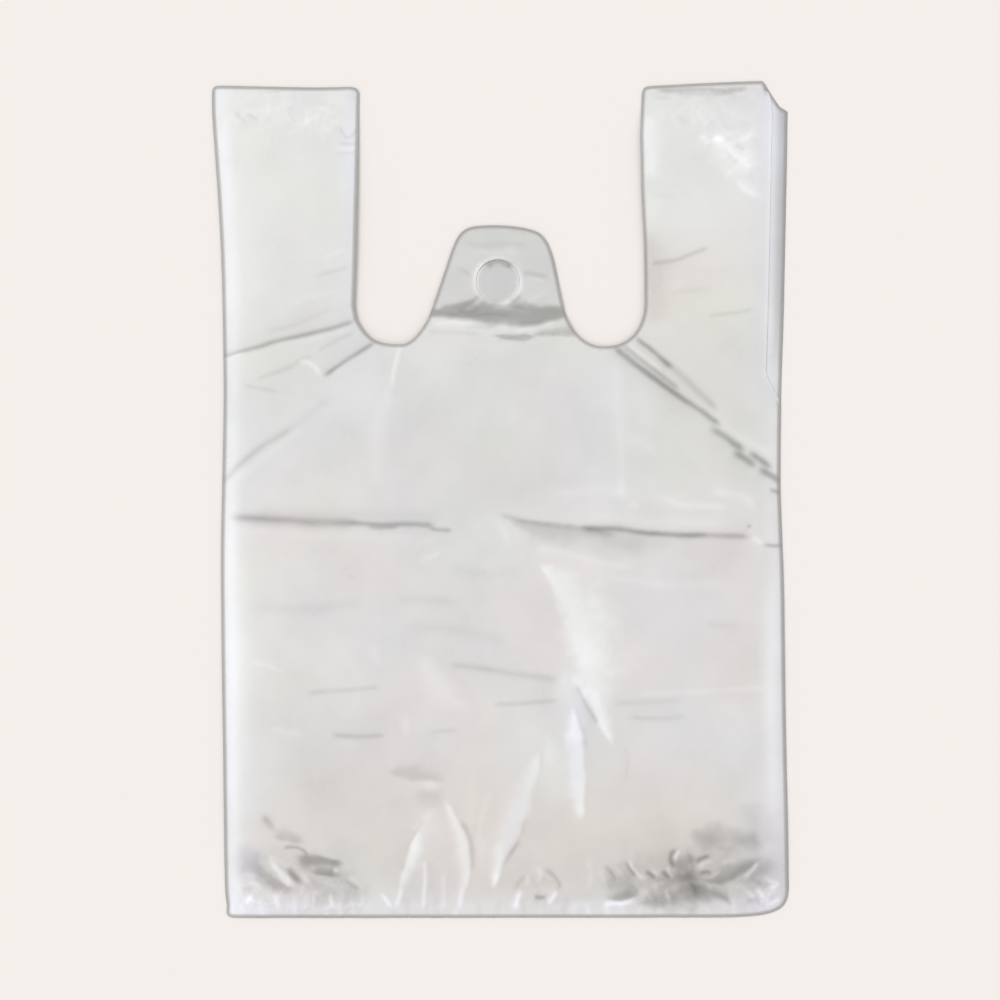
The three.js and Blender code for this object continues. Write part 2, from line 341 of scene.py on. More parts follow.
MOUTH_CREASES = [
    # from the left notch towards the left side
    ([(-52, 64.6), (-63.2, 61), (-76, 58), (-85, 55.7), (-98, 51.8), (-104, 50)], 0.92, -0.3, -0.2),
    ([(-52, 62), (-64, 58.4), (-73, 55.4)], 1.2, 0.15, 0.02),
    ([(-44.6, 57.2), (-47.3, 55.4), (-56.2, 49.8), (-64.4, 43.8)], 0.86, -0.35, -0.24),
    ([(-64.6, 43.4), (-67, 47.4), (-70.8, 49.6), (-74, 49.4)], 0.8, 0.25, 0.085),
    ([(-89.6, 42.3), (-75.5, 47.9), (-70.8, 50.9), (-66, 51)], 0.95, -0.15, -0.055),
    ([(-94.3, 41.3), (-79.2, 38.5)], 0.85, -0.1, -0.05),
    ([(-67, 53), (-60, 56.8), (-52, 60.6)], 0.8, -0.1, -0.05),
    ([(-104, 3.6), (-98, 8.4), (-94.3, 12.2), (-85.8, 19.2), (-74.5, 26.2)], 1.35, -0.25, -0.1),
    ([(-80, 22.6), (-74.5, 26.2), (-66.1, 32.8), (-60, 38)], 2, -0.15, -0.035),
    ([(-97, 5.2), (-82, 17), (-70, 27)], 1.6, 0.15, 0.02),
    ([(-60, 69), (-74.6, 62.8), (-86, 60)], 1.12, -0.1, -0.04),
    ([(-55, 75), (-66, 73.4), (-78, 69)], 1.4, 0.12, 0.02),
    ([(-68, 80), (-60.5, 82.2), (-54, 84)], 0.88, -0.1, -0.05),
    ([(-66, 86), (-60, 88.6), (-55, 90)], 0.9, 0.12, 0.03),
    ([(-36, 62), (-36.2, 54.9), (-37.9, 46.9), (-39.3, 39.4)], 0.85, 0.3, 0.07),
    # from the right notch towards the right side
    ([(48.6, 59.6), (49.3, 57.8), (53.6, 54.5), (58, 50.6), (62.4, 46.6)], 0.84, -0.3, -0.23),
    ([(56, 52.4), (64, 45.6), (71.6, 38.4), (79, 31)], 1.3, -0.2, -0.11),
    ([(39.6, 56.4), (44.8, 51.8), (53.6, 44.9), (60.8, 39.6), (68, 34.5), (74.5, 30.1), (80.4, 26)],
     1.1, -0.4, -0.26),
    ([(42.6, 56.6), (50, 50.8), (57.2, 45.2), (65, 39.2)], 0.9, -0.2, -0.14),
    ([(45, 56.4), (52, 51.2), (59, 45.6)], 0.8, 0.2, 0.05),
    ([(74.4, 26.8), (81.9, 21.6), (89.2, 16.6)], 1.3, -0.3, -0.25),
    ([(82.8, 18.2), (87.6, 14.8), (93, 11)], 1.3, -0.3, -0.25),
    ([(88.2, 18), (93.4, 14.4), (99, 10.6)], 1.2, -0.3, -0.24),
    ([(91.8, 11.8), (96.6, 9), (103, 5)], 1.3, -0.3, -0.25),
    ([(95.8, 3.6), (103, 1.8)], 0.8, -0.2, -0.2),
    ([(72, 34), (82, 25.4), (90, 20.6), (100, 14.8)], 1.4, 0.2, 0.03),
    ([(41.8, 53), (42.6, 34), (43.6, 17.8), (43.8, -2)], 2.2, 0.25, 0.03),
    ([(44.4, 22.6), (50.8, 20.2), (54.6, 17.4), (57.6, 14.2)], 1.5, 0.2, 0.03),
]

MIDDLE_CREASES = [
    # the fold right across the bag, where it was once folded double
    ([(-99.5, -6.3), (-84, -7.1), (-74, -7.7), (-64, -8.2), (-51, -8.5)], 1.6, -0.38, -0.185),
    ([(-56.5, -8.3), (-43.5, -9.2), (-37, -9), (-30, -9), (-22.6, -9.6)], 1.05, -0.3, -0.195),
    ([(-27, -10.3), (-22, -11), (-16.6, -11.2)], 0.76, -0.2, -0.14),
    ([(-49, -9.9), (-43, -10.4), (-36, -10.1)], 0.8, -0.15, -0.1),
    ([(-1.6, -5.4), (6, -7.2), (14, -8.6), (24, -9.8), (31, -10.3)], 1, -0.25, -0.085),
    ([(27.5, -10), (36, -10.6), (43, -10.9), (49.3, -11.8), (56.5, -12.6), (64.4, -13), (75, -13.1)],
     1.05, -0.38, -0.245),
    ([(70.4, -13), (80, -13.1), (91, -13.3)], 1.1, -0.3, -0.16),
    ([(94, -16.1), (97.6, -16.6), (107, -16.7)], 0.78, -0.3, -0.19),
    ([(90, -13.6), (93, -15), (95.4, -16.6)], 1.1, 0.25, 0.07),
    ([(-96, -11.5), (-70, -13), (-44, -14), (-20, -15)], 2.6, 0.15, 0.02),
    ([(-90, -4), (-60, -5), (-20, -5.5)], 2.4, 0.2, -0.035),
    ([(30, -6.5), (48, -8), (86, -9.6)], 2.2, 0.3, 0.02),
    ([(55, 1.2), (65.9, -2), (78.8, -2.9), (84, -4.2)], 1.5, 0.25, 0.045),
    ([(74, 2.4), (82.4, 1.8), (88.2, 0.9), (90.6, -2.3), (91, -6)], 1.6, 0.3, 0.045),
    ([(88.6, -9), (90.4, -10.4)], 0.7, -0.2, -0.12),
    ([(46, -1), (50.4, -3.6)], 1.2, 0.2, 0.03),
    ([(-2.6, -6.2), (-0.4, -9), (2.2, -13), (2.8, -18)], 1.7, 0.3, 0.04),
    ([(11, -16.8), (26, -20.2), (38, -23.4), (50, -24.6)], 1.5, 0.2, 0.035),
    ([(18, 1.6), (34, 3), (50, 1)], 2, 0.15, 0.02),
    # shallow lines above and below it
    ([(-71, -69.8), (-58.9, -69), (-42.4, -67.6)], 1, -0.15, -0.06),
    ([(-62, -84.8), (-52, -85.4), (-41, -85.3)], 0.88, -0.15, -0.08),
    ([(-62, -88), (-50, -88.4)], 1.4, 0.12, 0.02),
    ([(-39, -36.7), (-27, -36.4), (-14, -37.3)], 1.88, -0.12, -0.035),
    ([(-20, -59.6), (-10, -60.4), (8.5, -63.4), (22, -64.8)], 1.3, -0.2, -0.075),
    ([(-4, -74), (10.6, -73.2), (22, -72.2)], 0.95, -0.15, -0.06),
    ([(-27, -83.8), (-14, -83)], 0.95, -0.1, -0.04),
    ([(-36, -46), (-16, -47), (4, -52)], 2.25, -0.12, -0.03),
    ([(-92, -38), (-70, -39.6), (-48, -37)], 2.25, -0.1, -0.03),
    ([(-92, -58), (-84, -60), (-76, -64)], 1.05, 0.15, 0.03),
    ([(-46.5, -52), (-42.8, -61)], 1.05, 0.15, 0.03),
    ([(-30, -23), (-20, -18)], 1.05, 0.12, 0.035),
    ([(40, -73.8), (52, -73), (66, -72.2)], 1, -0.1, -0.035),
    ([(45, -78.4), (57, -79), (68, -78)], 0.95, -0.12, -0.045),
    ([(49, -70.2), (72, -69.4), (97, -67.8)], 1, 0.12, 0.03),
    ([(36, -28), (60, -31), (84, -30)], 1.8, 0.15, 0.02),
    ([(72, -44), (88, -47)], 1.5, -0.1, -0.03),
    ([(45, -88), (45.6, -94), (45.2, -102)], 0.75, -0.1, -0.03),
    ([(-20, -24), (-6, -27), (8, -25)], 2.5, -0.1, -0.025),
    ([(-84, -82), (-78, -84), (-70, -84.6)], 1.6, 0.1, 0.025),
]

LOWER_CREASES = [
    # the sharp edges of the long soft waves below the middle
    ([(26.4, -66), (29.6, -72), (32.6, -77.4), (35.6, -82)], 0.75, -0.3, -0.085),
    ([(9.4, -114.6), (7.4, -121), (4.6, -126), (2.2, -129.6)], 0.75, -0.2, -0.04),
    ([(7.6, -122.6), (5, -126), (2.4, -129.6), (0.8, -133)], 0.8, -0.25, -0.07),
    ([(-26.6, -115), (-31.4, -121.4), (-34, -128.9), (-36, -135.5)], 0.7, -0.2, -0.035),
    ([(-14.6, -115), (-11.6, -121), (-10.3, -128), (-10, -135)], 0.95, -0.3, -0.085),
    ([(29.6, -80), (30.6, -92), (30.8, -104), (29.6, -112)], 0.9, -0.25, -0.05),
    ([(-35.9, -139), (-36.4, -143), (-38.5, -148.6)], 0.84, 0.3, 0.13),
    ([(-43.6, -141.4), (-41.4, -144.6), (-38.5, -148.8)], 0.84, 0.3, 0.15),
    ([(-27.6, -129.6), (-27.4, -138), (-28, -149)], 0.72, 0.25, 0.12),
    ([(-20.8, -134), (-20.6, -142), (-21, -150)], 0.9, 0.25, 0.06),
    ([(-12.9, -139), (-14.1, -142.4), (-15.4, -149)], 0.98, 0.3, 0.14),
    ([(-1.2, -134.6), (-1.8, -137.4), (-3, -141)], 0.9, 0.3, 0.1),
    ([(7.4, -140.4), (6.3, -143.4), (4.9, -149)], 0.95, 0.35, 0.19),
    ([(20.6, -140.6), (19.3, -142.8), (16.4, -147)], 0.84, 0.3, 0.15),
    ([(15.4, -132.6), (18, -134.8), (21.2, -138.4), (20.8, -142)], 0.81, -0.25, -0.11),
    ([(11.4, -143), (14, -143.8), (17, -143.2)], 0.81, -0.25, -0.19),
    ([(4, -142.4), (7.6, -137), (11, -134.4)], 0.88, -0.2, -0.06),
    ([(13, -131.6), (14, -135), (13.4, -139)], 0.9, 0.2, 0.06),
    ([(8.6, -134), (9.6, -137), (8.8, -140)], 0.7, 0.2, 0.06),
    ([(-3, -104), (-7, -117), (-8, -129)], 1.2, 0.15, 0.025),
    ([(31, -128), (32.6, -134), (32, -142)], 1, 0.2, 0.03),
    ([(-5.4, -120), (-6.6, -128), (-6.2, -136)], 1, 0.15, 0.025),
]

CORNER_CREASES = [
    # the lower left corner
    ([(-86.4, -113.4), (-83.5, -116.8), (-81.2, -120.4)], 1.1, -0.2, -0.09),
    ([(-79.4, -126), (-76, -125.2), (-72.4, -126), (-69.2, -128.4)], 0.68, -0.25, -0.16),
    ([(-78.1, -132.7), (-75.2, -135.5), (-72, -138.8)], 0.84, -0.25, -0.16),
    ([(-84.6, -127.4), (-82, -130.4), (-79.6, -133)], 0.8, 0.2, 0.05),
    ([(-57, -136.6), (-54, -139), (-50.6, -141.2)], 0.84, -0.2, -0.11),
    ([(-55.4, -135.4), (-52.6, -137.8), (-50, -140)], 0.75, 0.2, 0.05),
    ([(-60.6, -133.6), (-58.4, -134.4)], 0.7, 0.25, 0.11),
    ([(-92.4, -146.8), (-91, -144.6), (-89, -142.6)], 0.96, 0.3, 0.14),
    ([(-92, -138.6), (-88.6, -138.8), (-85.4, -141.4)], 0.8, 0.25, 0.08),
    ([(-81.8, -141.6), (-81, -144.6), (-80.6, -148)], 0.96, 0.3, 0.11),
    ([(-61.6, -141.4), (-61.2, -144.4), (-60.6, -148.4)], 0.84, 0.3, 0.15),
    ([(-70.6, -141), (-70, -145), (-71, -149)], 1.05, 0.2, 0.04),
    ([(-66, -139.6), (-67.6, -143), (-67, -147)], 0.9, 0.2, 0.045),
    ([(-51, -141), (-50, -145), (-50.6, -149)], 1.05, 0.2, 0.04),
    ([(-94, -140.6), (-91.4, -141), (-89, -140.2)], 0.8, -0.2, -0.05),
    ([(-86.4, -143), (-84, -145.6), (-83.4, -148)], 0.8, -0.2, -0.05),
    ([(-88.6, -133), (-84.6, -137.6), (-80, -141.4)], 0.75, -0.2, -0.06),
    ([(-72, -133), (-69.4, -136.4), (-66.4, -139)], 0.75, -0.2, -0.07),
    ([(-64.4, -137.6), (-61, -139.4), (-57.6, -139)], 0.7, 0.2, 0.05),
    ([(-94.6, -134.6), (-90.6, -135.4), (-87.6, -138.4)], 0.8, 0.2, 0.04),
    # the lower right corner
    ([(44.6, -129.8), (46.4, -133), (49.3, -136.4)], 0.68, -0.25, -0.19),
    ([(46.2, -129.4), (47.9, -133.2), (50.6, -136.1), (53.2, -136.7)], 0.7, 0.3, 0.15),
    ([(36.8, -131.4), (39.6, -134.6), (41.8, -138.6)], 0.74, -0.2, -0.1),
    ([(39.6, -132), (42.6, -134), (45, -137.6)], 0.7, 0.2, 0.05),
    ([(34.6, -133), (37, -136.4), (38, -140)], 0.83, 0.2, 0.038),
    ([(51.6, -133.6), (53.8, -135.2), (56.2, -137)], 0.76, -0.25, -0.2),
    ([(53.6, -133.4), (56, -135), (58, -136.8)], 0.7, 0.2, 0.07),
    ([(57.6, -133.4), (59.4, -135.4), (61.6, -137)], 0.76, -0.25, -0.18),
    ([(64.2, -125.4), (61.4, -128), (61.2, -131), (63.4, -133.4)], 0.84, -0.3, -0.22),
    ([(64.8, -126), (62.9, -129), (64, -130.8)], 0.6, 0.3, 0.14),
    ([(60.2, -131.6), (60.6, -134.6), (62.6, -137)], 0.7, 0.25, 0.08),
    ([(69.8, -131.6), (72.4, -129.5), (76.2, -128.4)], 0.8, -0.25, -0.19),
    ([(70.6, -133.4), (73.4, -131.2), (77.4, -130.4)], 0.8, 0.25, 0.07),
    ([(70.8, -135.2), (73.6, -134.4), (76.6, -134.8)], 0.78, -0.25, -0.2),
    ([(71.4, -136.6), (75.6, -136.4), (78.6, -134.2), (78.4, -132)], 0.7, 0.25, 0.09),
    ([(93.4, -129.4), (91.1, -133.4), (88.2, -136.3), (86.6, -137.2)], 0.8, 0.3, 0.14),
    ([(66.6, -130.6), (68, -132.4), (67, -135)], 0.8, 0.25, 0.05),
    ([(60.8, -139.4), (59.6, -142), (61.4, -145.6)], 0.75, 0.25, 0.1),
    ([(66, -137), (69.4, -139.8), (71, -143.4)], 0.7, -0.2, -0.07),
    ([(72.6, -137.4), (76, -140.6), (81, -142.8)], 0.75, 0.25, 0.08),
    ([(50.4, -139.6), (53.6, -142.6), (55, -146)], 0.7, 0.25, 0.06),
    ([(45, -138.4), (48, -140), (49.6, -143)], 0.7, -0.2, -0.08),
    ([(66.6, -127), (68.4, -129.4), (68, -132)], 0.7, -0.2, -0.07),
    ([(79, -132.4), (82, -130.6), (86, -130)], 0.75, 0.2, 0.05),
    ([(76.8, -126.6), (80.6, -126), (84.4, -126.8)], 0.9, -0.15, -0.04),
    ([(86.4, -140), (90, -142.4), (92, -145.6)], 0.7, 0.25, 0.07),
    ([(94, -135.4), (97, -137.6), (100.6, -138)], 0.75, 0.25, 0.07),
    ([(99, -141), (96.4, -143), (95.8, -146.4)], 0.7, 0.25, 0.08),
    ([(54, -140.4), (56.4, -138.8), (60, -138.4)], 0.8, 0.25, 0.05),
    ([(36, -145.6), (39.6, -146), (46, -145.2), (48.8, -142.8)], 0.9, 0.3, 0.14),
    ([(64, -138.6), (69, -138), (76, -138.8), (80, -141.4), (82, -144)], 0.8, 0.25, 0.06),
    ([(84, -140.4), (86.4, -139.4), (89, -140.4)], 0.9, 0.25, 0.06),
    ([(91.8, -139.9), (94, -142.6), (96, -144.8)], 0.8, 0.3, 0.1),
    ([(96.8, -140.6), (98.6, -139.6), (101, -137.6)], 0.8, 0.3, 0.11),
    ([(95.4, -146.4), (98.6, -145.4), (101, -143)], 0.8, 0.3, 0.1),
    ([(90, -137), (94.6, -139.2), (99, -139)], 0.8, -0.25, -0.06),
    ([(88, -145.6), (91.6, -144.6), (94, -146.6)], 0.8, -0.2, -0.05),
]

HANDLE_CREASES = [
    ([(-96.6, 140.5), (-94.2, 137.7), (-91.4, 135.3)], 0.75, -0.2, -0.08),
    ([(-98, 139.4), (-95.6, 136.4), (-93.4, 134)], 0.9, 0.2, 0.04),
    ([(-92.4, 139.6), (-89.6, 138.2), (-86.8, 136.3)], 0.75, -0.2, -0.07),
    ([(-84, 144), (-82.6, 139), (-80.6, 135)], 1.05, 0.15, 0.022),
    ([(-72.6, 133.6), (-68, 137), (-62.4, 140.6)], 1.2, 0.15, 0.026),
    ([(-77, 143), (-75, 138), (-74, 133)], 1, -0.12, -0.03),
    ([(-58.4, 135), (-57, 132), (-55.4, 130.4), (-53, 132), (-52.4, 135)], 0.56, -0.2, -0.09),
    ([(-58.8, 128.4), (-55, 128.2), (-51, 128.4)], 0.56, -0.15, -0.08),
    ([(-60.4, 126.4), (-56, 126.4), (-51, 126.6)], 0.68, 0.15, 0.038),
    ([(-60.6, 124.8), (-56, 124.8), (-51, 125.2)], 0.56, -0.12, -0.05),
    ([(55, 147.4), (62, 147.7), (72, 148.1), (80, 147.7), (86, 148.1), (90, 148.6)], 0.95, -0.2, -0.14),
    ([(62, 146.6), (70, 146.4), (78, 146.4), (86, 147)], 0.8, -0.15, -0.07),
    ([(94.4, 149), (95.6, 147.4), (96.4, 145)], 0.8, -0.15, -0.1),
    ([(60, 149), (70, 149.1), (80, 149)], 0.6, 0.15, 0.05),
    ([(54.6, 146), (58, 144.6), (62, 145)], 0.7, -0.12, -0.05),
    ([(72.4, 131.8), (73.6, 130), (75.8, 127.6)], 1.1, 0.3, 0.07),
    ([(77.6, 132), (81, 128.4)], 1.2, 0.3, 0.05),
    ([(76.6, 132.4), (82.4, 126.2), (86.4, 122.6), (91.6, 117.4)], 1.3, 0.3, 0.025),
    ([(84, 128.8), (86.6, 126.6), (88.6, 125.2)], 0.8, -0.2, -0.06),
    ([(79.6, 127.4), (83.4, 122.6), (87, 119.8)], 0.8, -0.2, -0.05),
    ([(83.6, 116), (88.6, 111.8), (94.4, 108.8), (97, 107.8)], 1.3, 0.2, 0.035),
    ([(98.2, 128), (100.4, 125.2)], 0.9, 0.3, 0.08),
    ([(101, 128.4), (102.6, 127.6)], 0.7, -0.2, -0.1),
    ([(70, 142), (73, 138), (75, 134)], 1.2, 0.2, 0.038),
    ([(64, 139), (66, 136), (70, 136.6)], 1, -0.15, -0.03),
    ([(53.4, 84.6), (62.6, 86.2), (69.1, 88.7), (76, 91)], 0.84, -0.2, -0.1),
    ([(74, 66.2), (80, 66.8), (86.4, 67.6), (92, 69)], 0.8, -0.15, -0.06),
    ([(60, 74), (70, 75.4), (78, 76)], 1.12, -0.1, -0.025),
    ([(54, 110), (64, 109)], 0.88, -0.1, -0.03),
]

TAB_CREASES = [
    ([(-23, 69.2), (-17.8, 69.8), (-12.4, 71), (-9.4, 72.2), (-6.6, 74.4)], 0.85, -0.2, -0.12),
    ([(-14, 67.8), (-8.4, 70.6), (-6.2, 73)], 0.8, 0.15, 0.06),
    ([(-17, 68.4), (-11, 67.6), (-7, 69)], 0.7, -0.1, -0.06),
    ([(2.6, 71.2), (5.4, 72.4), (7.6, 74.8)], 0.8, -0.2, -0.13),
    ([(7.6, 72.6), (9.6, 70.4), (12, 68.4)], 0.75, -0.15, -0.05),
    ([(6.6, 81.6), (11.6, 81.2), (18.4, 79.8)], 0.95, -0.15, -0.07),
    ([(8, 80), (12.6, 79.6), (17, 78.4)], 0.8, 0.15, 0.03),
    ([(9, 70.6), (13.4, 73.4), (18, 75)], 1.05, 0.15, 0.03),
    ([(-15, 93), (-6, 91.4), (4, 92.2), (11, 90.6)], 1.2, -0.12, -0.03),
    ([(-12, 89.6), (-2, 88.8), (8, 89.4)], 1.2, 0.12, 0.025),
    ([(-26, 63.2), (-12, 63.8), (-2, 62.6), (5, 60.4)], 1, 0.2, 0.05),
    ([(-27, 60.4), (-16, 60.2), (-6, 59.2)], 0.8, -0.12, -0.045),
    ([(-14, 62), (-8, 61.8), (-3, 60.8)], 0.7, -0.12, -0.035),
    ([(4, 61), (9, 61.4), (14, 62.6), (20, 64.2)], 0.75, 0.2, 0.07),
    ([(-16.6, 84), (-13, 82.4), (-9.8, 79)], 0.75, -0.1, -0.05),
    # the streaks in the shaded fold at its foot
    ([(-20, 66.6), (-12, 66.2), (-4, 66.8), (4, 66)], 0.6, -0.12, -0.06),
    ([(-4, 69), (4, 68.4), (12, 67)], 0.6, 0.12, 0.05),
    ([(2, 63.4), (8, 63.4), (16, 64.4)], 0.6, -0.12, -0.05),
    ([(-22, 68), (-18, 68.2), (-14, 67.8)], 0.5, 0.1, 0.05),
]

CREASES = [*MOUTH_CREASES, *MIDDLE_CREASES, *LOWER_CREASES]
CREASES += [*CORNER_CREASES, *HANDLE_CREASES, *TAB_CREASES]
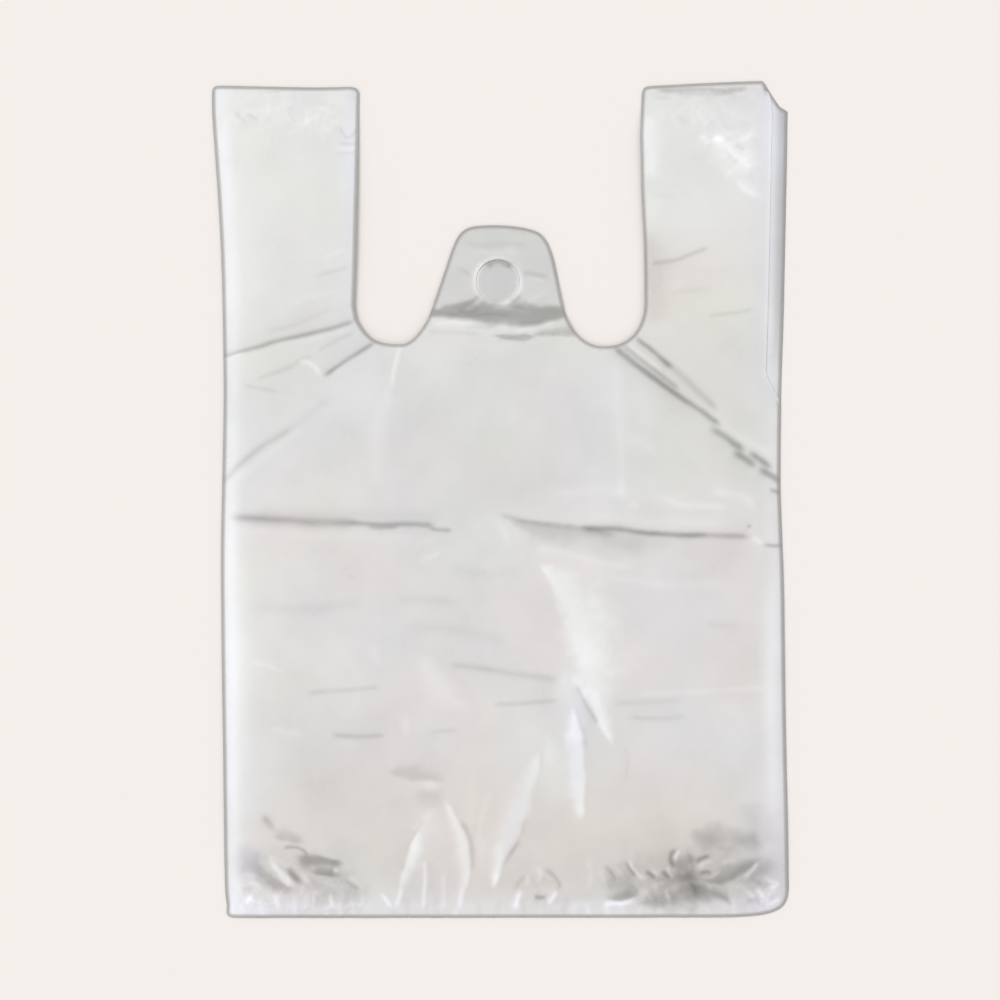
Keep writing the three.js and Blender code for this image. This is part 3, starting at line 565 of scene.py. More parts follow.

# Facets are wider: a path, half widths along it, how much they whiten, partly as painted highlight, or
# darken, partly as painted shade, how far they stand up, how crumpled they are, and which of their long
# edges is
# soft: the one to the LEFT of the path, the one to its RIGHT, BOTH or NEITHER.
NEITHER, LEFT, RIGHT, BOTH = range(4)
SOFT_REACH = 1.9  # how many times further a soft edge reaches
FACETS = [
    # the broad soft wave right of the middle
    ([(13.6, -22.6), (18.4, -28), (25.2, -36), (28.8, -45.2), (32, -54.6), (33.2, -62), (34.2, -70.7),
      (36.9, -81), (41.4, -90)],
     (0.6, 3.2, 6, 7.8, 7.6, 6.4, 3.6, 1.9, 0.6), 0.094, 0.6, 0, LEFT),
    ([(27.6, -46), (30.4, -56), (31.6, -64)], (1.5, 2.8, 1.2), 0.02, 0.1, 0, BOTH),
    ([(33.4, -67), (35.2, -74), (37.4, -82), (40, -88)], (0.8, 1.5, 1.3, 0.5), 0.035, 0.2, 0, BOTH),
    ([(12, -17), (20, -22), (30, -26), (40, -30)], (2, 5, 4, 1.5), 0.02, 0.2, 0, BOTH),
    ([(-6, -20), (-2, -28), (2, -34)], (2, 4.4, 2), 0.018, 0.2, 0, BOTH),
    # the narrow bluish one under it, and the broad pale one beside that
    ([(23.2, -60), (24.4, -69), (26.2, -79), (27.4, -90)], (1.2, 3.8, 3.6, 2), 0.05, 0.35, 0, BOTH),
    ([(25.8, -74), (27.2, -83), (28.3, -93), (28.9, -102), (29, -109), (28.8, -117)],
     (0.5, 1.7, 2.7, 2.9, 2.3, 0.8), 0.11, 0.5, 0, RIGHT),
    ([(20, -84), (20.6, -97), (21.6, -112)], (1.6, 3.4, 2.6), 0.022, 0.3, 0, BOTH),
    ([(15, -84), (17.4, -88), (17, -98)], (0.8, 1.8, 0.8), 0.035, 0.3, 0, BOTH),
    # the slanting leaf, whose foot is whiter
    ([(14.2, -90), (11.6, -99), (9, -106), (6.4, -114.6), (3.1, -122.3), (0.6, -128),
      (-0.8, -132.6), (-2.6, -141)],
     (0.8, 2, 3, 3.8, 4.2, 3.3, 2, 0.7), 0.072, 0.35, 0, RIGHT),
    ([(1.2, -121), (-0.4, -127.4), (-1, -133), (-2.2, -140)],
     (0.7, 1.5, 1.2, 0.6), 0.05, 0.2, 0, BOTH),
    ([(-9, -96), (-10.6, -108), (-11, -122)], (0.8, 1.8, 0.8), 0.02, 0.2, 0, BOTH),
    # the two legs of the tent, and between them
    ([(-23.4, -110.4), (-25.6, -116), (-27.6, -122), (-30, -129), (-32, -135.5)],
     (1.4, 3.4, 4, 3, 1.2), 0.055, 0.4, 0, LEFT),
    ([(-28.6, -119), (-31.2, -125.4), (-33.3, -131.4), (-35, -136.5), (-36.4, -142)],
     (0.6, 1.8, 1.8, 1.4, 0.7), 0.1, 0.3, 0, LEFT),
    ([(-20.6, -107.4), (-16.6, -115.8), (-13.4, -123.6), (-12.2, -131.6), (-12.4, -137), (-14, -143)],
     (0.5, 1.3, 1.9, 1.9, 1.7, 0.9), 0.095, 0.4, 0, RIGHT),
    ([(-23, -112), (-23.6, -126), (-24.6, -146)], (1, 5, 8), -0.005, -0.3, 0, BOTH),
    ([(-42, -98), (-30.5, -99.6), (-19, -101)], (0.9, 2.4, 1), -0.075, -0.2, 0.1, LEFT),
    ([(-30.6, -103.4), (-25.5, -103.4), (-20.6, -104.4)], (0.8, 1.6, 0.8), 0.075, 0.2, 0.1, BOTH),
    ([(-33, -107), (-26, -106.8), (-19, -107.6)], (1.6, 2.8, 1.6), -0.06, -0.2, 0.1, BOTH),
    ([(-46, -112), (-40, -122), (-44, -132)], (2, 6, 3), 0.015, 0.1, 0, BOTH),
    ([(6, -136), (14, -137.6), (22, -138)], (2.5, 4.5, 2.5), -0.02, -0.05, 0.2, BOTH),
    # beside the fold across the middle
    ([(2, -7), (11, -9.6), (20, -10.9), (29, -11.7), (36, -12.3), (43, -12.8)],
     (0.6, 1.7, 2.6, 2.6, 1.3, 0.4), -0.1, -0.2, 0, RIGHT),
    ([(8, -13), (22, -15), (38, -16.4), (54, -16.6)], (1.2, 3, 3.6, 2), -0.035, -0.1, 0, BOTH),
    ([(34, -14), (50, -16.4), (64, -16)], (1, 2.6, 1), -0.03, -0.1, 0, BOTH),
    ([(-92, -9.2), (-76, -9.8), (-60, -10.4)], (0.8, 1.6, 0.8), -0.03, -0.1, 0, BOTH),
    ([(60, -19), (74, -21), (88, -19)], (1, 3, 1.5), -0.012, -0.15, 0, BOTH),
    ([(84, 0), (88, -4), (90, -9)], (2, 3, 2), 0.02, 0.15, 0.05, BOTH),
    ([(40, 4), (60, 2), (84, 4)], (2, 5, 2), 0.02, 0.15, 0, BOTH),
    ([(-29.6, -56), (-22, -67), (-16.5, -72.8), (-10, -75.4)],
     (1.5, 2.6, 2.6, 0.9), 0.04, 0.3, 0, BOTH),
    ([(-34.8, -76), (-34.4, -81), (-34, -87)], (0.6, 1.3, 0.6), 0.04, 0.2, 0, BOTH),
    ([(-39, 42), (-42.6, 30), (-44.5, 18.7), (-44.5, 2.7)], (0.8, 1.8, 2.2, 1.6), 0.025, 0.15, 0, BOTH),
    ([(-30, 50), (-34, 30), (-36, 8)], (3, 5, 3), -0.018, -0.1, 0, BOTH),
    # the shaded fold at the tab's foot, and the two smaller ones below it
    ([(-30, 67.2), (-18.4, 67.4), (-13, 67.7), (-8.5, 67.6), (-4, 67.2), (5, 66.6), (9.4, 65.8),
      (14, 66.3), (19.4, 67.1), (29, 67.4)],
     (1.5, 1.7, 2.4, 3.7, 4.5, 4.9, 4.1, 2.9, 2.2, 1.9), -0.245, -0.35, 0, NEITHER),
    ([(10, 59.2), (18.2, 59.8), (30, 60.3)], (0.4, 1.2, 1.6), -0.15, -0.25, 0, LEFT),
    ([(-4, 59.2), (0, 58.6), (5, 58.2), (14, 58.6)], (0.3, 1.3, 1.5, 0.4), -0.19, -0.2, 0, NEITHER),
    ([(-26, 62.4), (-12, 62), (0, 61)], (1.5, 2.2, 1), 0.02, 0.1, 0, BOTH),
    ([(0, 90.6), (8, 90)], (1.6, 1.6), 0.015, 0.1, 0, BOTH),
    # the lower left corner
    ([(-87, -112), (-84.6, -116.4), (-82, -120)], (0.8, 1.6, 1), -0.06, -0.2, 0, BOTH),
    ([(-83.6, -120.6), (-78.8, -121.8), (-75.2, -122.6), (-69.6, -124.2)],
     (1.1, 2, 1.5, 0.5), -0.11, -0.25, 0, LEFT),
    ([(-75.4, -129.2), (-70.4, -130), (-64.6, -130.2), (-60, -131), (-55.6, -131.4)],
     (0.9, 2.2, 1.7, 1.1, 0.6), -0.24, -0.35, 0, RIGHT),
    ([(-70.4, -133.8), (-65.6, -134.6), (-61, -135.2), (-57, -136.2)],
     (0.6, 1.1, 1.1, 0.5), -0.22, -0.3, 0, LEFT),
    ([(-98, -127), (-92, -130.4), (-87, -135.4)], (3.4, 4.6, 2.5), -0.08, -0.2, 0.06, BOTH),
    ([(-90, -131), (-84.6, -136.2), (-79.4, -139.8), (-73.6, -140.8)],
     (1.6, 2.4, 1.8, 0.5), -0.14, -0.25, 0, RIGHT),
    ([(-84.6, -129.6), (-80, -134.4), (-76.9, -138), (-73.8, -141)],
     (0.6, 1.5, 1.6, 0.8), 0.13, 0.3, 0, NEITHER),
    ([(-78.6, -131.8), (-74.6, -136), (-70.6, -140)], (0.6, 1.5, 0.6), -0.1, -0.2, 0, LEFT),
    ([(-75.4, -131.6), (-71.4, -135.6), (-67.4, -139.8)], (0.7, 1.6, 0.8), 0.075, 0.25, 0, NEITHER),
    ([(-96, -120), (-88, -126), (-84, -130)], (1.8, 2.4, 1.2), 0.035, 0.15, 0, BOTH),
    ([(-70, -139), (-60, -139.4), (-48, -142)], (3, 4, 2.5), -0.03, -0.1, 0.2, BOTH),
    ([(-94, -128), (-80, -135), (-64, -139), (-46, -143)], (4, 8, 7.5, 3.5), -0.055, -0.1, 0.2, BOTH),
    ([(-99, -143.6), (-84, -145), (-66, -146)], (3.6, 3, 2), 0.035, 0.1, 0.22, BOTH),
    # the lower right corner
    ([(36, -137.6), (54, -138.6), (72, -137), (98, -131)],
     (3.5, 6.5, 8.5, 6), -0.075, -0.1, 0.12, BOTH),
    ([(67, -119.4), (74, -122), (81.7, -122.4), (88.5, -122.8), (96, -125.8)],
     (0.8, 2.2, 2.9, 2.2, 0.6), -0.12, -0.3, 0, BOTH),
    ([(95, -129), (89.4, -132), (85, -134.6), (80.5, -137), (74, -138.4)],
     (0.5, 1.3, 2, 2.4, 1.4), -0.17, -0.3, 0.08, RIGHT),
    ([(101, -130), (95.4, -133.4), (91.8, -135.5), (87, -138.2)],
     (1.6, 2.4, 2, 0.9), -0.08, -0.25, 0, BOTH),
    ([(60.4, -130.6), (64.4, -132.4), (68, -134), (72, -136.2)],
     (1, 2.8, 2.8, 1.2), -0.17, -0.3, 0.2, BOTH),
    ([(52, -136.6), (62, -137.4), (72, -137.2), (79, -137.6)],
     (0.8, 1.7, 1.6, 0.8), -0.1, -0.2, 0.12, BOTH),
    ([(36.6, -143.4), (42.1, -144), (46.4, -142.8), (51, -142.2)],
     (0.7, 1.3, 1.3, 0.8), -0.16, -0.3, 0.15, LEFT),
    ([(48.6, -146), (54, -145.2), (60.6, -143.6), (66.3, -142.2), (73.1, -141.4), (77.8, -142),
      (81, -144.2),
      (84, -147)],
     (0.8, 2.2, 3.4, 4, 3.4, 2.4, 1.3, 0.4), -0.2, -0.35, 0.2, BOTH),
    ([(64, -141.6), (69, -140.6), (75, -140.8)], (0.9, 1.9, 0.9), -0.05, -0.2, 0.1, RIGHT),
    ([(52, -141.4), (58, -139.6), (66, -138.6)], (0.8, 1.6, 0.8), 0.03, 0.1, 0.1, BOTH),
    ([(88, -108), (92, -117), (93, -127)], (2, 5, 4), -0.06, -0.2, 0, BOTH),
    ([(34, -138), (44, -137.4), (52, -139)], (2, 3.2, 2.6), -0.05, -0.1, 0.2, BOTH),
    ([(68, -134.6), (71.6, -133), (76, -133.4)], (0.8, 1.3, 0.8), 0.07, 0.2, 0, BOTH),
    ([(80, -137.8), (82.6, -140.6), (85, -143.4)], (1.2, 2.2, 1.2), 0.07, 0.2, 0, BOTH),
    ([(88, -142.6), (95, -141.6), (101, -138)], (2.6, 4.4, 3), 0.04, 0.15, 0.25, BOTH),
    ([(40, -126), (56, -124), (66, -122)], (4, 8, 4), -0.02, -0.1, 0, BOTH),
    # the handles' tops
    ([(-98, 137), (-76, 139), (-55, 134)], (6, 8, 8), 0, 0, 0.16, BOTH),
    ([(-58, 145.6), (-52, 144), (-47, 142)], (2, 4, 2), -0.06, 0, 0.1, BOTH),
    ([(71, 132), (73, 129.8), (76, 127.6)], (1.6, 2.4, 1.4), 0.03, 0.2, 0.3, BOTH),
    ([(76, 133), (82, 126.6), (86.4, 122.4), (92, 117)], (1.4, 3, 3.6, 1.2), 0.075, 0.3, 0.25, BOTH),
    ([(86.6, 133.6), (89.8, 130.6), (92.4, 127.6)], (1.4, 2.4, 1.3), 0.05, 0.3, 0.3, BOTH),
    ([(97.6, 138), (99, 132), (99, 126)], (1.6, 2.4, 1.4), 0.02, 0.1, 0.15, BOTH),
    ([(84, 117), (89, 111.6), (95, 108.6)], (1, 2.4, 1.2), 0.03, 0.1, 0, LEFT),
    ([(56, 136), (72, 138), (94, 134)], (5, 9, 9), 0, 0, 0.17, BOTH),
    ([(82, 122), (90, 116), (97, 106)], (3, 5, 4), 0, 0, 0.12, BOTH),
    ([(54.6, 140), (53.4, 132), (54, 122), (54, 114)], (1.6, 2.4, 2.4, 1.2), 0.07, 0.15, 0.1, BOTH),
    ([(54.6, 110), (54.4, 104), (55, 98)], (1.2, 1.8, 1.2), 0.03, 0.1, 0.05, BOTH),
    ([(53.4, 98), (54.6, 82), (55.6, 62)], (1.4, 4.4, 3), -0.05, -0.1, 0, BOTH),
]

# Soft patches are the middle and the reach of each, and an amount. These are darker than the rest.
SHADES = [
    ((80, -137), (22, 9), -0.07),
    ((-75, 70), (22, 16), -0.03),
    ((-5, 14), (36, 18), -0.02),
    ((-60, -96), (26, 20), -0.035),
]

# And these are more lilac or, below 0, warmer.
CASTS = [
    ((-54, 125), (4, 44), 0.9),
    ((99, 133), (5, 10), 0.8),
    ((26.4, -84), (5, 20), 0.9),
    ((3, -118), (6, 16), 0.4),
    ((-90.7, -131), (5, 6), 1.2),
    ((90, -132), (12, 10), 0.3),
    ((78, 62), (22, 38), -0.8),
    ((76, 22), (14, 16), -0.5),
    ((54, 80), (8, 22), -0.8),
    ((58, -124), (26, 16), -0.5),
    ((-10, -104), (10, 20), -0.4),
]

PUCKERS_X = (-94, 98)
PUCKER_SPACING = 6.1


def weld_puckers():
    """Small soft ridges that run up from the bottom weld, where the film gathers."""
    rng = np.random.default_rng(11)
    puckers = []
    for place in np.arange(*PUCKERS_X, PUCKER_SPACING):
        x = place + rng.uniform(-2.4, 2.4)
        length = rng.uniform(4, 10)
        lean = rng.uniform(-2.5, 2.5)
        whiten = rng.uniform(-0.045, 0.06)
        halfway = (x + lean * 0.3, BOTTOM_Y + length * 0.5)
        path = [(x, BOTTOM_Y - 1), halfway, (x + lean, BOTTOM_Y + length)]
        puckers.append((path, rng.uniform(0.8, 1.3), math.copysign(0.2, whiten), whiten))
    return puckers


def near_path(points, path, reach):
    """Which points are near a path, how far across and along it they are, and the path's length."""
    line = smooth_path(path, 8)
    near = np.flatnonzero(((points > line.min(0) - reach) & (points < line.max(0) + reach)).all(1))
    across, along, total = across_and_along(points[near], line)
    return near, across, along, total


def crease_fields(points, creases):
    """The height and the whitening that the creases give each point, and where they are."""
    height = np.zeros(len(points))
    tone = np.zeros(len(points))
    detail = np.zeros(len(points))
    wander = noise_at(points, 9, 13.1) * 0.32 + noise_at(points, 2.5, 17.9) * 0.12
    uneven = 1 + 0.35 * noise_at(points, 9, 31.3)
    for path, width, rise, whiten in creases:
        near, across, along, total = near_path(points, path, 8 * width)
        if not len(near):
            continue
        across = across + wander[near]
        fade = min(6.0, total * 0.35, 4 * width)
        ends = smoothstep(along, 0, fade) * smoothstep(total - along, 0, fade) * uneven[near]
        core = bump(across, 0, width)
        # a fold is steep on one side and falls off gently on the other
        skirt = np.exp(-np.abs(across) / (width * np.where(across > 0, 0.9, 3.0)))
        height[near] += rise * (0.4 * core + 0.6 * skirt) * ends
        tone[near] += whiten * (0.8 * core + 0.2 * skirt) * ends
        detail[near] = np.maximum(detail[near], bump(across, 0, 2.2 * width))
    return height, tone, detail


def facet_fields(points, facets):
    """The height, whitening and crumpling that the facets give each point, and where their edges are.

    An edge is where the film's whiteness changes enough to need the fine mesh.
    """
    height = np.zeros(len(points))
    tone = np.zeros(len(points))
    crumpled = np.zeros(len(points))
    detail = np.zeros(len(points), bool)
    ragged = noise_at(points, 9, 41.7) * 0.35 + noise_at(points, 3.2, 43.9) * 0.2
    for path, widths, whiten, rise, crumples, soft in facets:
        near, across, along, total = near_path(points, path, 3.2 * max(widths))
        if not len(near):
            continue
        width = np.interp(along / total, np.linspace(0, 1, len(widths)), widths)
        gentle = ((across > 0) & (soft in (LEFT, BOTH))) | ((across < 0) & (soft in (RIGHT, BOTH)))
        inward = 1 - np.abs(across) / (width * np.where(gentle, SOFT_REACH, 1.0))
        inward += ragged[near] * (1 + 1.6 * crumples)
        ends = smoothstep(along, -0.1, 5) * smoothstep(total - along, -0.1, 5)
        mask = smoothstep(inward, -0.35, np.where(gentle, 1.1, 0.75)) * ends
        height[near] += rise * mask
        tone[near] += whiten * mask
        crumpled[near] = np.maximum(crumpled[near], crumples * mask)
        detail[near] |= (mask > 0.02) & (mask < 0.98) & (abs(whiten) > 0.04)
    return height, tone, crumpled, detail


# --- How each ply lies ---------------------------------------------------------------------------

LEAST_GAP = 0.05  # between two plies, where they touch
PLY_GAP = 0.32  # and how much wider it is where they are free
TAB_LIFT = 0.3  # how far the tab's film lies above the back panel's height
PUFF = 2.1  # how much higher the front panel stands in the middle of the bag
ARCH_HALF_WIDTH = 104
TAB_HALF_WIDTH = 38


def freedom(points):
    """How free the plies are of each other: 0.1 at the two welds, 1 in the middle of the bag."""
    from_end = np.minimum(points[:, 1] - BOTTOM_Y, RIGHT_TOP_Y - 1 - points[:, 1])
    return 0.1 + 0.9 * smoothstep(from_end, 3, 26)


def from_sides(points, front):
    """Distance inwards from the left and from the right folded side, of the front panel or of the bag."""
    x, y = points.T
    inset = band_inset(y) if front else 0
    return x - side_x(LEFT_SIDE, y), side_x(RIGHT_SIDE, y) - inset - x


def back_height(points):
    """The back panel's height: it lies on the floor, slightly rippled."""
    ripple = noise_at(points, 30, 3.3) * 0.16 + noise_at(points, 11, 7.1) * 0.05
    return FLOOR_CLEAR + np.maximum(0, freedom(points) * (0.2 + ripple))


def gap_above(points, front):
    """The gap to the next ply up, which closes towards the folded sides and the welds."""
    side = np.minimum(*from_sides(points, front))
    return LEAST_GAP + PLY_GAP * freedom(points) * smoothstep(side, -1.5, 8)


def lower_web_height(points):
    """The height of the gussets' lower plies."""
    return back_height(points) + gap_above(points, False)


def upper_web_height(points):
    """The height of the gussets' upper plies."""
    return lower_web_height(points) + gap_above(points, True)


def crumple(points):
    """Fine crumpling of the film, as a height and a whitening of its ridges that is partly painted
    highlight, to be scaled by how crumpled it is.
    """
    bend = 2.2 * np.column_stack([noise_at(points, 7, 61.3), noise_at(points, 7, 67.9)])
    ridges = 1 - 2.4 * np.abs(noise_at(points + bend, 6.5, 21.7, (1.25, 1)))
    folds = 1 - 2.4 * np.abs(noise_at(points + bend, 3.4, 33.3, (1, 1.3)))
    fine = noise_at(points, 1.8, 5.9)
    height = ridges * 0.30 + folds * 0.18 + fine * 0.06
    whiten = 0.12 * smoothstep(ridges, 0.5, 1.0) + 0.09 * smoothstep(folds, 0.55, 1.0) + 0.06 * fine
    return height, whiten - 0.05


def gathered(points):
    """How crumpled the film is beside the bottom weld and at the tops of the handles."""
    y = points[:, 1]
    weld = 0.13 * np.exp(-np.abs(y - BOTTOM_Y - 4) / 5)
    tops = 0.11 * np.exp(-np.maximum(RIGHT_TOP_Y - y - 4, 0) / 9) * (y > 90)
    return 0.02 + weld + tops


def smooth_height(points):
    """The front panel's height without its creases: arched and waved on the body, flat on the tab."""
    x, y = points.T
    rest = upper_web_height(points) + gap_above(points, True)
    arch = (1 - (x / ARCH_HALF_WIDTH) ** 2) * smoothstep(y, BOTTOM_Y + 4, -70)
    arch *= 1 - smoothstep(y, 40, 146)
    arch *= smoothstep(distance_to(points, mouth_path(), 30), -2, 26)
    waves = noise_at(points, 52, 1.7) * 0.55 + noise_at(points, 24, 4.2) * 0.26
    waves += noise_at(points, 10, 9.4) * 0.07
    inner = smoothstep(np.minimum(*from_sides(points, True)), 0, 16) * freedom(points)
    on_body = rest + PUFF * arch + waves * inner
    on_tab = back_height(points) + TAB_LIFT + waves * 0.25
    tab = smoothstep(y, NOTCH_Y + 5, NOTCH_Y + 27) * (np.abs(x) < TAB_HALF_WIDTH)
    return on_body * (1 - tab) + on_tab * tab


def front_height(points):
    """The front panel's height, and how much its creases whiten it."""
    creased, tone, _ = crease_fields(points, [*CREASES, *weld_puckers()])
    raised, whitened, crumpled, _ = facet_fields(points, FACETS)
    rough, hairlines = crumple(points)
    crumpled = crumpled + gathered(points)
    height = smooth_height(points) + (creased + raised + rough * crumpled)
    over_web = np.abs(points[:, 0]) > GUSSET_FOLD_X - 2
    lowest = np.where(over_web, upper_web_height(points), back_height(points)) + LEAST_GAP
    tone = tone + whitened + hairlines * crumpled * smoothstep(crumpled, 0.04, 0.2)
    return np.maximum(height, lowest), tone


def is_detailed(points):
    """Where the front panel needs its fine mesh."""
    _, _, creased = crease_fields(points, [*CREASES, *weld_puckers()])
    _, _, crumpled, facet_edge = facet_fields(points, FACETS)
    edge = distance_to(points, closed(outline(True)[0]), 3) < 1.7
    weld = points[:, 1] < BOTTOM_Y + 12
    return (creased > 0.3) | (crumpled > 0.25) | facet_edge | edge | weld


def shows_beside(points):
    """Where the plies under the front panel show beside it."""
    return (points[:, 1] > BAND_FROM_Y - 5) & (from_sides(points, True)[1] < 3)


def patches(points, places):
    """The soft elliptical patches, added up."""
    total = np.zeros(len(points))
    for middle, reach, amount in places:
        total += amount * bump(points, middle, reach).prod(1)
    return total


def painted_side_highlight(points):
    """Painted highlight where the folded sides roll down, on top of the whiter four plies there."""
    y = points[:, 1]
    left, right = from_sides(points, True)
    low_left = smoothstep(-y, -40, 20)
    tone = (0.035 + 0.04 * low_left) * bump(left, 3.2, 2.4)
    tone += (0.048 + 0.022 * low_left) * np.exp(-np.maximum(left, 0) / 15)
    tone += 0.05 * bump(left, 6, 4) * bump(y, -60, 44)
    corner = smoothstep(-y, 98, 125)
    tone += 0.1 * smoothstep(-y, 20, 60) * (1 - 0.8 * corner) * bump(right, 4.6, 3.2)
    tone += 0.05 * smoothstep(-y, -40, -28) * (1 - smoothstep(-y, 30, 70)) * bump(right, 3, 3)
    return tone


def tab_shade(points):
    """The tab is clearer and its slug a little darker; a painted highlight lies on the edge of its slit
    and painted shadow on the slug under the open slit.
    """
    x, y = points.T
    ring = np.hypot(x - TAB_HOLE[0], y - TAB_HOLE[1]) - TAB_HOLE_RADIUS
    angle = np.arctan2(y - TAB_HOLE[1], x - TAB_HOLE[0])
    tone = (0.09 + 0.05 * np.cos(2 * angle + 1.2)) * bump(ring, 0.35, 0.85)
    tone -= 0.32 * bump(ring, -0.75, 0.8) * smoothstep(np.sin(angle), 0.55, 0.95)
    tone -= 0.035 * smoothstep(-ring, 0.2, 1.2)
    tone -= 0.04 * (np.abs(x) < TAB_HALF_WIDTH) * smoothstep(y, 60, 72)
    return tone


def band_shade(points, front):
    """A painted highlight on the front panel's fold beside the band; the plies under it are paler in the
    band, with painted light right next to the fold and painted shade higher up and towards the band's
    outer edge.
    """
    y = points[:, 1]
    _, right = from_sides(points, True)
    beside = smoothstep(y, *BAND_INSET)
    if front:
        tone = 0.025 * beside * np.exp(-np.maximum(right, 0) / 2.5)
        tone += 0.07 * beside * np.exp(-np.maximum(right, 0) / 0.5)
        return tone
    shaded = 0.06 * smoothstep(y, 44, 92)
    shaded += 0.13 * smoothstep(y, 40, 66) * smoothstep(-right, 0.8, BAND_WIDTH - 1.4)
    return beside * (right < 0) * (0.06 + 0.07 * np.exp(np.minimum(right, 0) / 0.7) - shaded) - 0.03


def shade_of(points, front):
    """Broad differences in whiteness, from the plies under each place and how the film is gathered, with
    painted highlight on the folded sides, the front fold and the slit's edge, and painted shade in the
    band and the open slit.
    """
    x, y = points.T
    from_weld = y - BOTTOM_Y
    handle = smoothstep(y, 45, 75) * (np.abs(x) > 40)
    tone = painted_side_highlight(points) + tab_shade(points) + band_shade(points, front) + patches(points, SHADES)
    tone += (0.04 - 0.02 * smoothstep(-y, -110, -80) * (x > 0)) * handle
    tone += 0.03 * smoothstep(y, 95, 125) * bump(x, -54.4, 2.6)
    tone += 0.015 * (1 - smoothstep(from_weld, 3, 7))
    tone -= 0.02 * smoothstep(-y, 100, 126) * smoothstep(from_weld, 4, 8)
    return tone


def tint_of(points, tone):
    """The film's cast: 1 is lilac, as where it is doubled, gathered or creased, and -1 is a warm grey."""
    x, y = points.T
    left, right = from_sides(points, True)
    lilac = 0.9 * (1 - smoothstep(y - BOTTOM_Y, 5, 12))
    lilac += 0.5 * bump(left, 0, 6) + np.clip(4 * (tone - 0.06), 0, 0.7)
    lilac += 0.8 * bump(np.maximum(right, 0), 0, 7) * (1 - 0.7 * bump(y, 15, 30))
    lilac += patches(points, CASTS)
    warm = 0.7 * smoothstep(-y, 70, 120) * smoothstep(-np.abs(x), -98, -70)
    warm *= 1 - smoothstep(tone, 0.015, 0.05)
    uneven = noise_at(points, 26, 71.3) * 0.5
    return np.clip(lilac - warm + uneven * (1 - np.clip(lilac, 0, 1)), -1, 1)


def blush_of(points, tone):
    """How pinkish the film is, which is more so below its middle; where it isn't, it is greenish."""
    x, y = points.T
    lower = smoothstep(-y, -25, 35) * (1 - 0.6 * smoothstep(-x, 84, 98))
    plain = 1 - 0.8 * smoothstep(tone, 0.02, 0.07)
    return np.clip(0.2 + 0.65 * lower + 0.9 * noise_at(points, 34, 83.1), 0, 1) * plain


# --- The mesh ------------------------------------------------------------------------------------

BAND_FROM_X = 93.5  # beyond this and up to BAND_TO_Y, the front panel ends in a fold over the band
BAND_TO_Y = 147.6
SEAM_BULGE = 0.12  # how far a fold stands out sideways


class Film:
    """Collects the plies and the folds that join them into one mesh."""

    def __init__(self):
        self.points = []
        self.faces = []
        self.values = {"tone": [], "rim": [], "tint": [], "blush": []}
        self.count = 0

    def add(self, points, **values):
        """Adds points, with their value for each attribute. Returns the first one's index."""
        first = self.count
        self.points.append(points)
        for name, value in values.items():
            self.values[name].append(value)
        self.count += len(points)
        return first

    def ply(self, flat, faces, height, tone, rim, face_up, keep=None):
        """Adds a ply, or the part of it that keep selects. Returns the mesh index of each flat point."""
        if keep is not None:
            faces = faces[keep]
        used, faces = np.unique(faces, return_inverse=True)
        faces = faces.reshape(-1, 3)
        if not face_up:
            faces = faces[:, ::-1]
        lifted = np.column_stack([flat[used], height[used]])
        # the painted edge shade also fades the tint, the blush and the tone at the edges
        tint = tint_of(flat[used], tone[used]) * (1 - 0.9 * rim[used])
        blush = blush_of(flat[used], tone[used]) * (1 - 0.5 * rim[used])
        faded = tone[used] * (1 - 0.6 * rim[used])
        first = self.add(lifted, tone=faded, rim=rim[used], tint=tint, blush=blush)
        self.faces.append(faces + first)
        index = np.full(len(flat), -1)
        index[used] = first + np.arange(len(used))
        return index

    def fold(self, top, bottom, bulge):
        """Joins two rows of mesh points by a narrow rounded strip that bulges sideways."""
        points = np.vstack(self.points)
        middle = (points[top] + points[bottom]) / 2
        middle[:, 0] += bulge
        values = {name: np.concatenate(parts)[top] for name, parts in self.values.items()}
        first = self.add(middle, **values)
        row = first + np.arange(len(top))
        for a, b in ((top, row), (row, bottom)):
            self.faces.append(np.column_stack([a[1:], a[:-1], b[:-1]]))
            self.faces.append(np.column_stack([a[1:], b[:-1], b[1:]]))

    def mesh(self, name):
        """The Blender mesh of all that was added, in metres."""
        mesh = bpy.data.meshes.new(name)
        points = np.vstack(self.points) * MM
        faces = np.vstack(self.faces)
        mesh.from_pydata(points.tolist(), [], faces.tolist())
        for attribute, values in self.values.items():
            layer = mesh.attributes.new(attribute, "FLOAT", "POINT")
            layer.data.foreach_set("value", np.concatenate(values).astype(np.float32))
        mesh.shade_smooth()
        return mesh


def rim_of(points, edge, front):
    """Where painted edge shade greys the film: 1 on an edge of the bag and 0 a little way in, but 0 along
    the fold beside the band.
    """
    near = 1 - smoothstep(distance_to(points, closed(edge), 4), 0.62, 1.55)
    if front:
        inset = smoothstep(band_inset(points[:, 1]), 0, 0.8)
        near *= 1 - inset * (points[:, 0] > BAND_FROM_X) * (points[:, 1] < BAND_TO_Y)
    return near


def add_front(film, edge):
    """Adds the front panel, with its fine mesh where it is creased."""
    grid = two_lattices(edge, CREASED_STEP, PLAIN_STEP, is_detailed)
    flat, faces, _ = triangulate(edge, [], grid)
    height, tone = front_height(flat)
    tone += shade_of(flat, True)
    return film.ply(flat, faces, height, tone, rim_of(flat, edge, True), True)


def add_webs(film, flat, faces, chains, height, edge, front):
    """Adds the left and the right web of the gussets at that height, out to the given edge."""
    middles = flat[faces].mean(1)
    tone = shade_of(flat, False)
    rim = rim_of(flat, edge, front)
    webs = []
    for side, chain in zip((-1, 1), chains):
        fold = flat[chain]
        fold_x = np.interp(middles[:, 1], fold[:, 1], fold[:, 0])
        outer = side * (middles[:, 0] - fold_x) > 0
        webs.append(film.ply(flat, faces, height, tone, rim, not front, outer))
    return webs


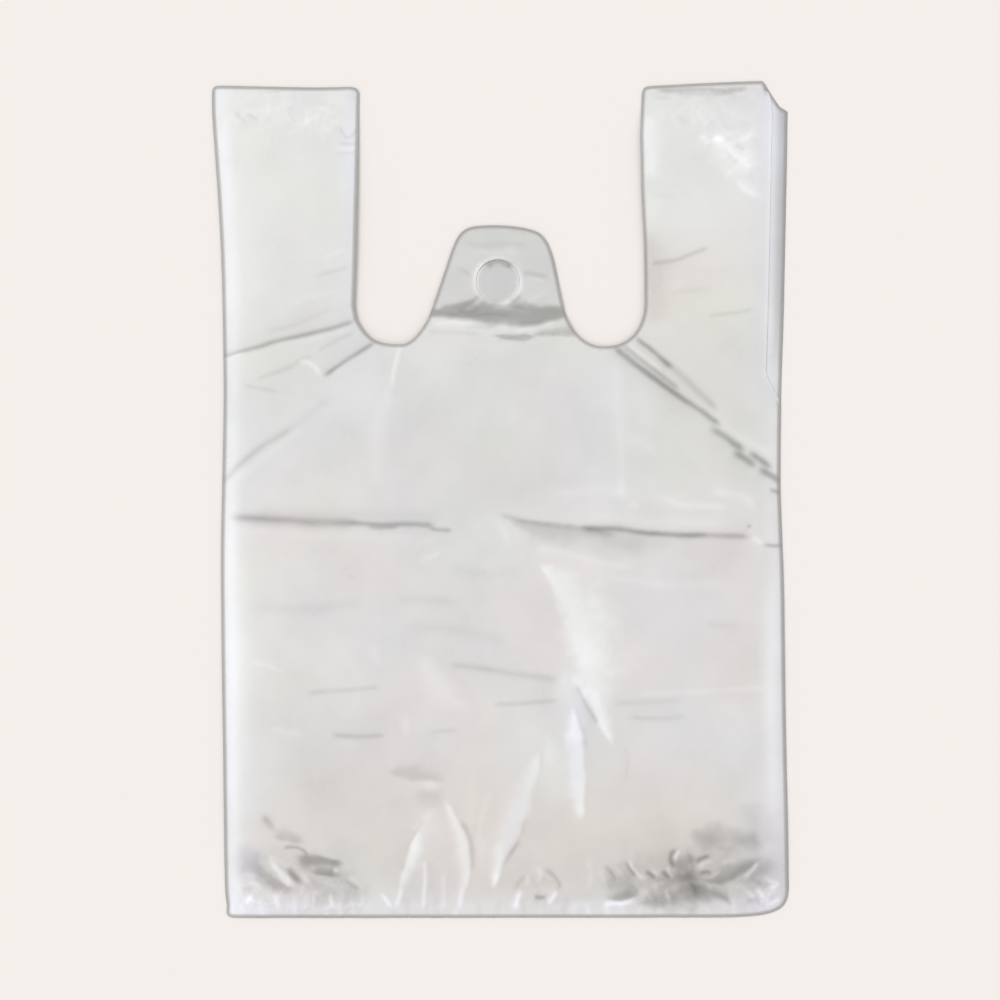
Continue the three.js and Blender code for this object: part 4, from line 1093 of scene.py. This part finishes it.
def make_bag():
    """The front panel, the gussets' upper and lower webs and the back panel, joined along their folds."""
    back_edge, names = outline(False)
    front_edge, _ = outline(True)
    folds = gusset_folds(back_edge)

    film = Film()
    front = add_front(film, front_edge)
    flat, faces, chains = triangulate(front_edge, folds, lattice(front_edge, UNDER_STEP))
    upper = add_webs(film, flat, faces, chains, upper_web_height(flat), front_edge, True)
    grid = two_lattices(back_edge, BAND_STEP, UNDER_STEP, shows_beside)
    flat, faces, chains = triangulate(back_edge, folds, grid)
    lower = add_webs(film, flat, faces, chains, lower_web_height(flat), back_edge, False)
    rim = rim_of(flat, back_edge, False)
    back = film.ply(flat, faces, back_height(flat), shade_of(flat, False), rim, False)

    for k, (name, bulge) in enumerate((("left", -SEAM_BULGE), ("right", SEAM_BULGE))):
        seam = np.flatnonzero(names == name)
        film.fold(front[seam], upper[k][seam], bulge)
        film.fold(lower[k][seam], back[seam], bulge)
        chain = np.array(chains[k])
        if name == "left":
            chain = chain[::-1]
        film.fold(upper[k][chain], lower[k][chain], -bulge)

    bag = bpy.data.objects.new("film_bag", film.mesh("film_bag"))
    bpy.context.scene.collection.objects.link(bag)
    return bag


# --- Materials -----------------------------------------------------------------------------------

NOISE_RANGE = (0.3, 0.7)  # most of what a noise texture gives
WHITE_RANGE = (0.3, 0.7)  # the whiteness from the clearest to the most opaque film
# painted shade that greys the film along its cut and folded edges, where it turns edge-on
EDGE_SHADE_GREY = (0.55, 0.54, 0.54, 1)
FLOOR_COLOUR = (0.82, 0.78, 0.745, 1)


def node(tree, kind, place, **values):
    """A new node, with its settings and its inputs by name."""
    made = tree.nodes.new(kind)
    made.location = place
    for name, value in values.items():
        if hasattr(made, name):
            setattr(made, name, value)
        else:
            made.inputs[name.replace("_", " ")].default_value = value
    return made


def ramp(tree, place, value, stops):
    """The colour for a value, between stops that are each a value and a colour."""
    made = node(tree, "ShaderNodeValToRGB", place)
    tree.links.new(value, made.inputs["Fac"])
    elements = made.color_ramp.elements
    while len(elements) < len(stops):
        elements.new(0.5)
    for element, (at, colour) in zip(elements, stops):
        element.position = at
        element.color = (*colour, 1)
    return made.outputs["Color"]


def multiply(tree, place, first, second):
    """The product of two colours."""
    product = node(tree, "ShaderNodeMix", place, data_type="RGBA", blend_type="MULTIPLY")
    product.inputs["Factor"].default_value = 1
    tree.links.new(first, product.inputs["A"])
    tree.links.new(second, product.inputs["B"])
    return product.outputs["Result"]


def attribute(tree, place, name):
    """A value that the mesh carries at each point."""
    return node(tree, "ShaderNodeAttribute", place, attribute_name=name).outputs["Fac"]


def carried(tree, place, value, source, target):
    """A value carried over from one range to another."""
    made = node(tree, "ShaderNodeMapRange", place, From_Min=source[0], From_Max=source[1],
                To_Min=target[0], To_Max=target[1])
    tree.links.new(value, made.inputs["Value"])
    return made.outputs["Result"]


def film_whiteness(tree, cloud):
    """How white the film is, where 0.5 is plain film: its tone, with the painted highlight and shade it
    carries, slightly mottled.
    """
    mottle = carried(tree, (-1080, -60), cloud, NOISE_RANGE, (0.48, 0.52))
    white = node(tree, "ShaderNodeMath", (-880, 200), operation="ADD")
    tree.links.new(attribute(tree, (-1300, 300), "tone"), white.inputs[0])
    tree.links.new(mottle, white.inputs[1])
    return white.outputs["Value"]


def film_cast(tree):
    """The film's cast: greenish to pinkish by the blush, and warm to lilac by the tint."""
    blush = attribute(tree, (-1300, 560), "blush")
    casts = ramp(tree, (-1080, 560), blush, [(0.0, (0.985, 0.990, 0.968)), (1.0, (1.0, 0.962, 0.955))])
    tint = carried(tree, (-1080, 800), attribute(tree, (-1300, 800), "tint"), (-1, 1), (0, 1))
    tints = ramp(tree, (-880, 800), tint, [(0.0, (1.0, 0.980, 0.935)), (0.5, (1, 1, 1)),
                                           (1.0, (0.98, 0.985, 1.06))])
    return multiply(tree, (-600, 560), tints, casts)


def film_colour(tree, white):
    """The film's colour: grey to white by its whiteness, with its cast, and greyed by painted shade at
    its edges.
    """
    grey = ramp(tree, (-700, 360), white, [(0.0, (0.15, 0.15, 0.15)), (0.25, (0.42, 0.42, 0.415)),
                                           (0.5, (0.755, 0.755, 0.755)), (0.75, (1.0, 1.0, 1.0))])
    edge = node(tree, "ShaderNodeMix", (-200, 260), data_type="RGBA", blend_type="MULTIPLY")
    edge.inputs["B"].default_value = EDGE_SHADE_GREY
    tree.links.new(attribute(tree, (-1300, 100), "rim"), edge.inputs["Factor"])
    tree.links.new(multiply(tree, (-400, 400), film_cast(tree), grey), edge.inputs["A"])
    return edge.outputs["Result"]


def film_material():
    """Translucent white film: whiter and more opaque where creased, by stress whitening and painted
    highlight, and greyed by painted shade along its edges.
    """
    material = bpy.data.materials.new("film")
    material.use_nodes = True
    tree = material.node_tree
    link = tree.links.new
    shader = tree.nodes["Principled BSDF"]
    shader.inputs["IOR"].default_value = 1.52
    where = node(tree, "ShaderNodeTexCoord", (-1500, 0)).outputs["Object"]
    clouds = node(tree, "ShaderNodeTexNoise", (-1300, -100), Scale=45.0, Detail=4.0, Roughness=0.55)
    link(where, clouds.inputs["Vector"])
    cloud = clouds.outputs["Fac"]

    white = film_whiteness(tree, cloud)
    link(film_colour(tree, white), shader.inputs["Base Color"])
    link(carried(tree, (-700, -40), white, WHITE_RANGE, (0.74, 0.95)), shader.inputs["Alpha"])
    link(carried(tree, (-700, -260), cloud, NOISE_RANGE, (0.26, 0.38)), shader.inputs["Roughness"])

    # the film's own fine ripples
    ripple = node(tree, "ShaderNodeTexNoise", (-1300, -420), Scale=300.0, Detail=3.0, Roughness=0.6)
    link(where, ripple.inputs["Vector"])
    relief = node(tree, "ShaderNodeBump", (-400, -420), Strength=0.25, Distance=0.0002)
    link(ripple.outputs["Fac"], relief.inputs["Height"])
    link(relief.outputs["Normal"], shader.inputs["Normal"])
    return material


def floor_material():
    """A plain pale matt floor."""
    material = bpy.data.materials.new("pale_floor")
    material.use_nodes = True
    shader = material.node_tree.nodes["Principled BSDF"]
    shader.inputs["Base Color"].default_value = FLOOR_COLOUR
    shader.inputs["Roughness"].default_value = 0.9
    shader.inputs["Specular IOR Level"].default_value = 0.1
    return material


# --- Stage, in metres ----------------------------------------------------------------------------

FLOOR_SIZE = 6
CAMERA_AT = (-0.0004, -0.0002, 1.003)  # straight above the bag, looking down


def add_floor():
    """The floor that the bag lies on."""
    bpy.ops.mesh.primitive_plane_add(size=FLOOR_SIZE, location=(0, 0, 0))
    floor = bpy.context.object
    floor.name = "floor"
    floor.data.materials.append(floor_material())


def add_sun(name, direction, strength, spread):
    """A soft light from a direction: a sun with a wide spread, in degrees, falls evenly on the floor."""
    lamp = bpy.data.lights.new(name, "SUN")
    lamp.energy = strength
    lamp.angle = math.radians(spread)
    light = bpy.data.objects.new(name, lamp)
    light.location = direction
    light.rotation_euler = Vector(direction).to_track_quat("Z", "Y").to_euler()
    bpy.context.scene.collection.objects.link(light)


def add_camera():
    """A camera straight above, as the photo was taken."""
    camera = bpy.data.cameras.new("camera")
    camera.lens = 100
    camera.sensor_width = 36
    view = bpy.data.objects.new("camera", camera)
    view.location = CAMERA_AT
    bpy.context.scene.collection.objects.link(view)
    bpy.context.scene.camera = view


def set_world():
    """Even light from all round."""
    world = bpy.data.worlds.new("studio")
    world.use_nodes = True
    background = world.node_tree.nodes["Background"]
    background.inputs["Color"].default_value = (1, 1, 1, 1)
    background.inputs["Strength"].default_value = 0.84
    bpy.context.scene.world = world
    bpy.context.scene.view_settings.view_transform = "Standard"


add_camera()
set_world()
add_floor()
add_sun("key", direction=(-1.1, 0.9, 1.6), strength=1.12, spread=25)

bag = make_bag()
bag.data.materials.append(film_material())
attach(bag, "root")
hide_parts("carrier_bag")
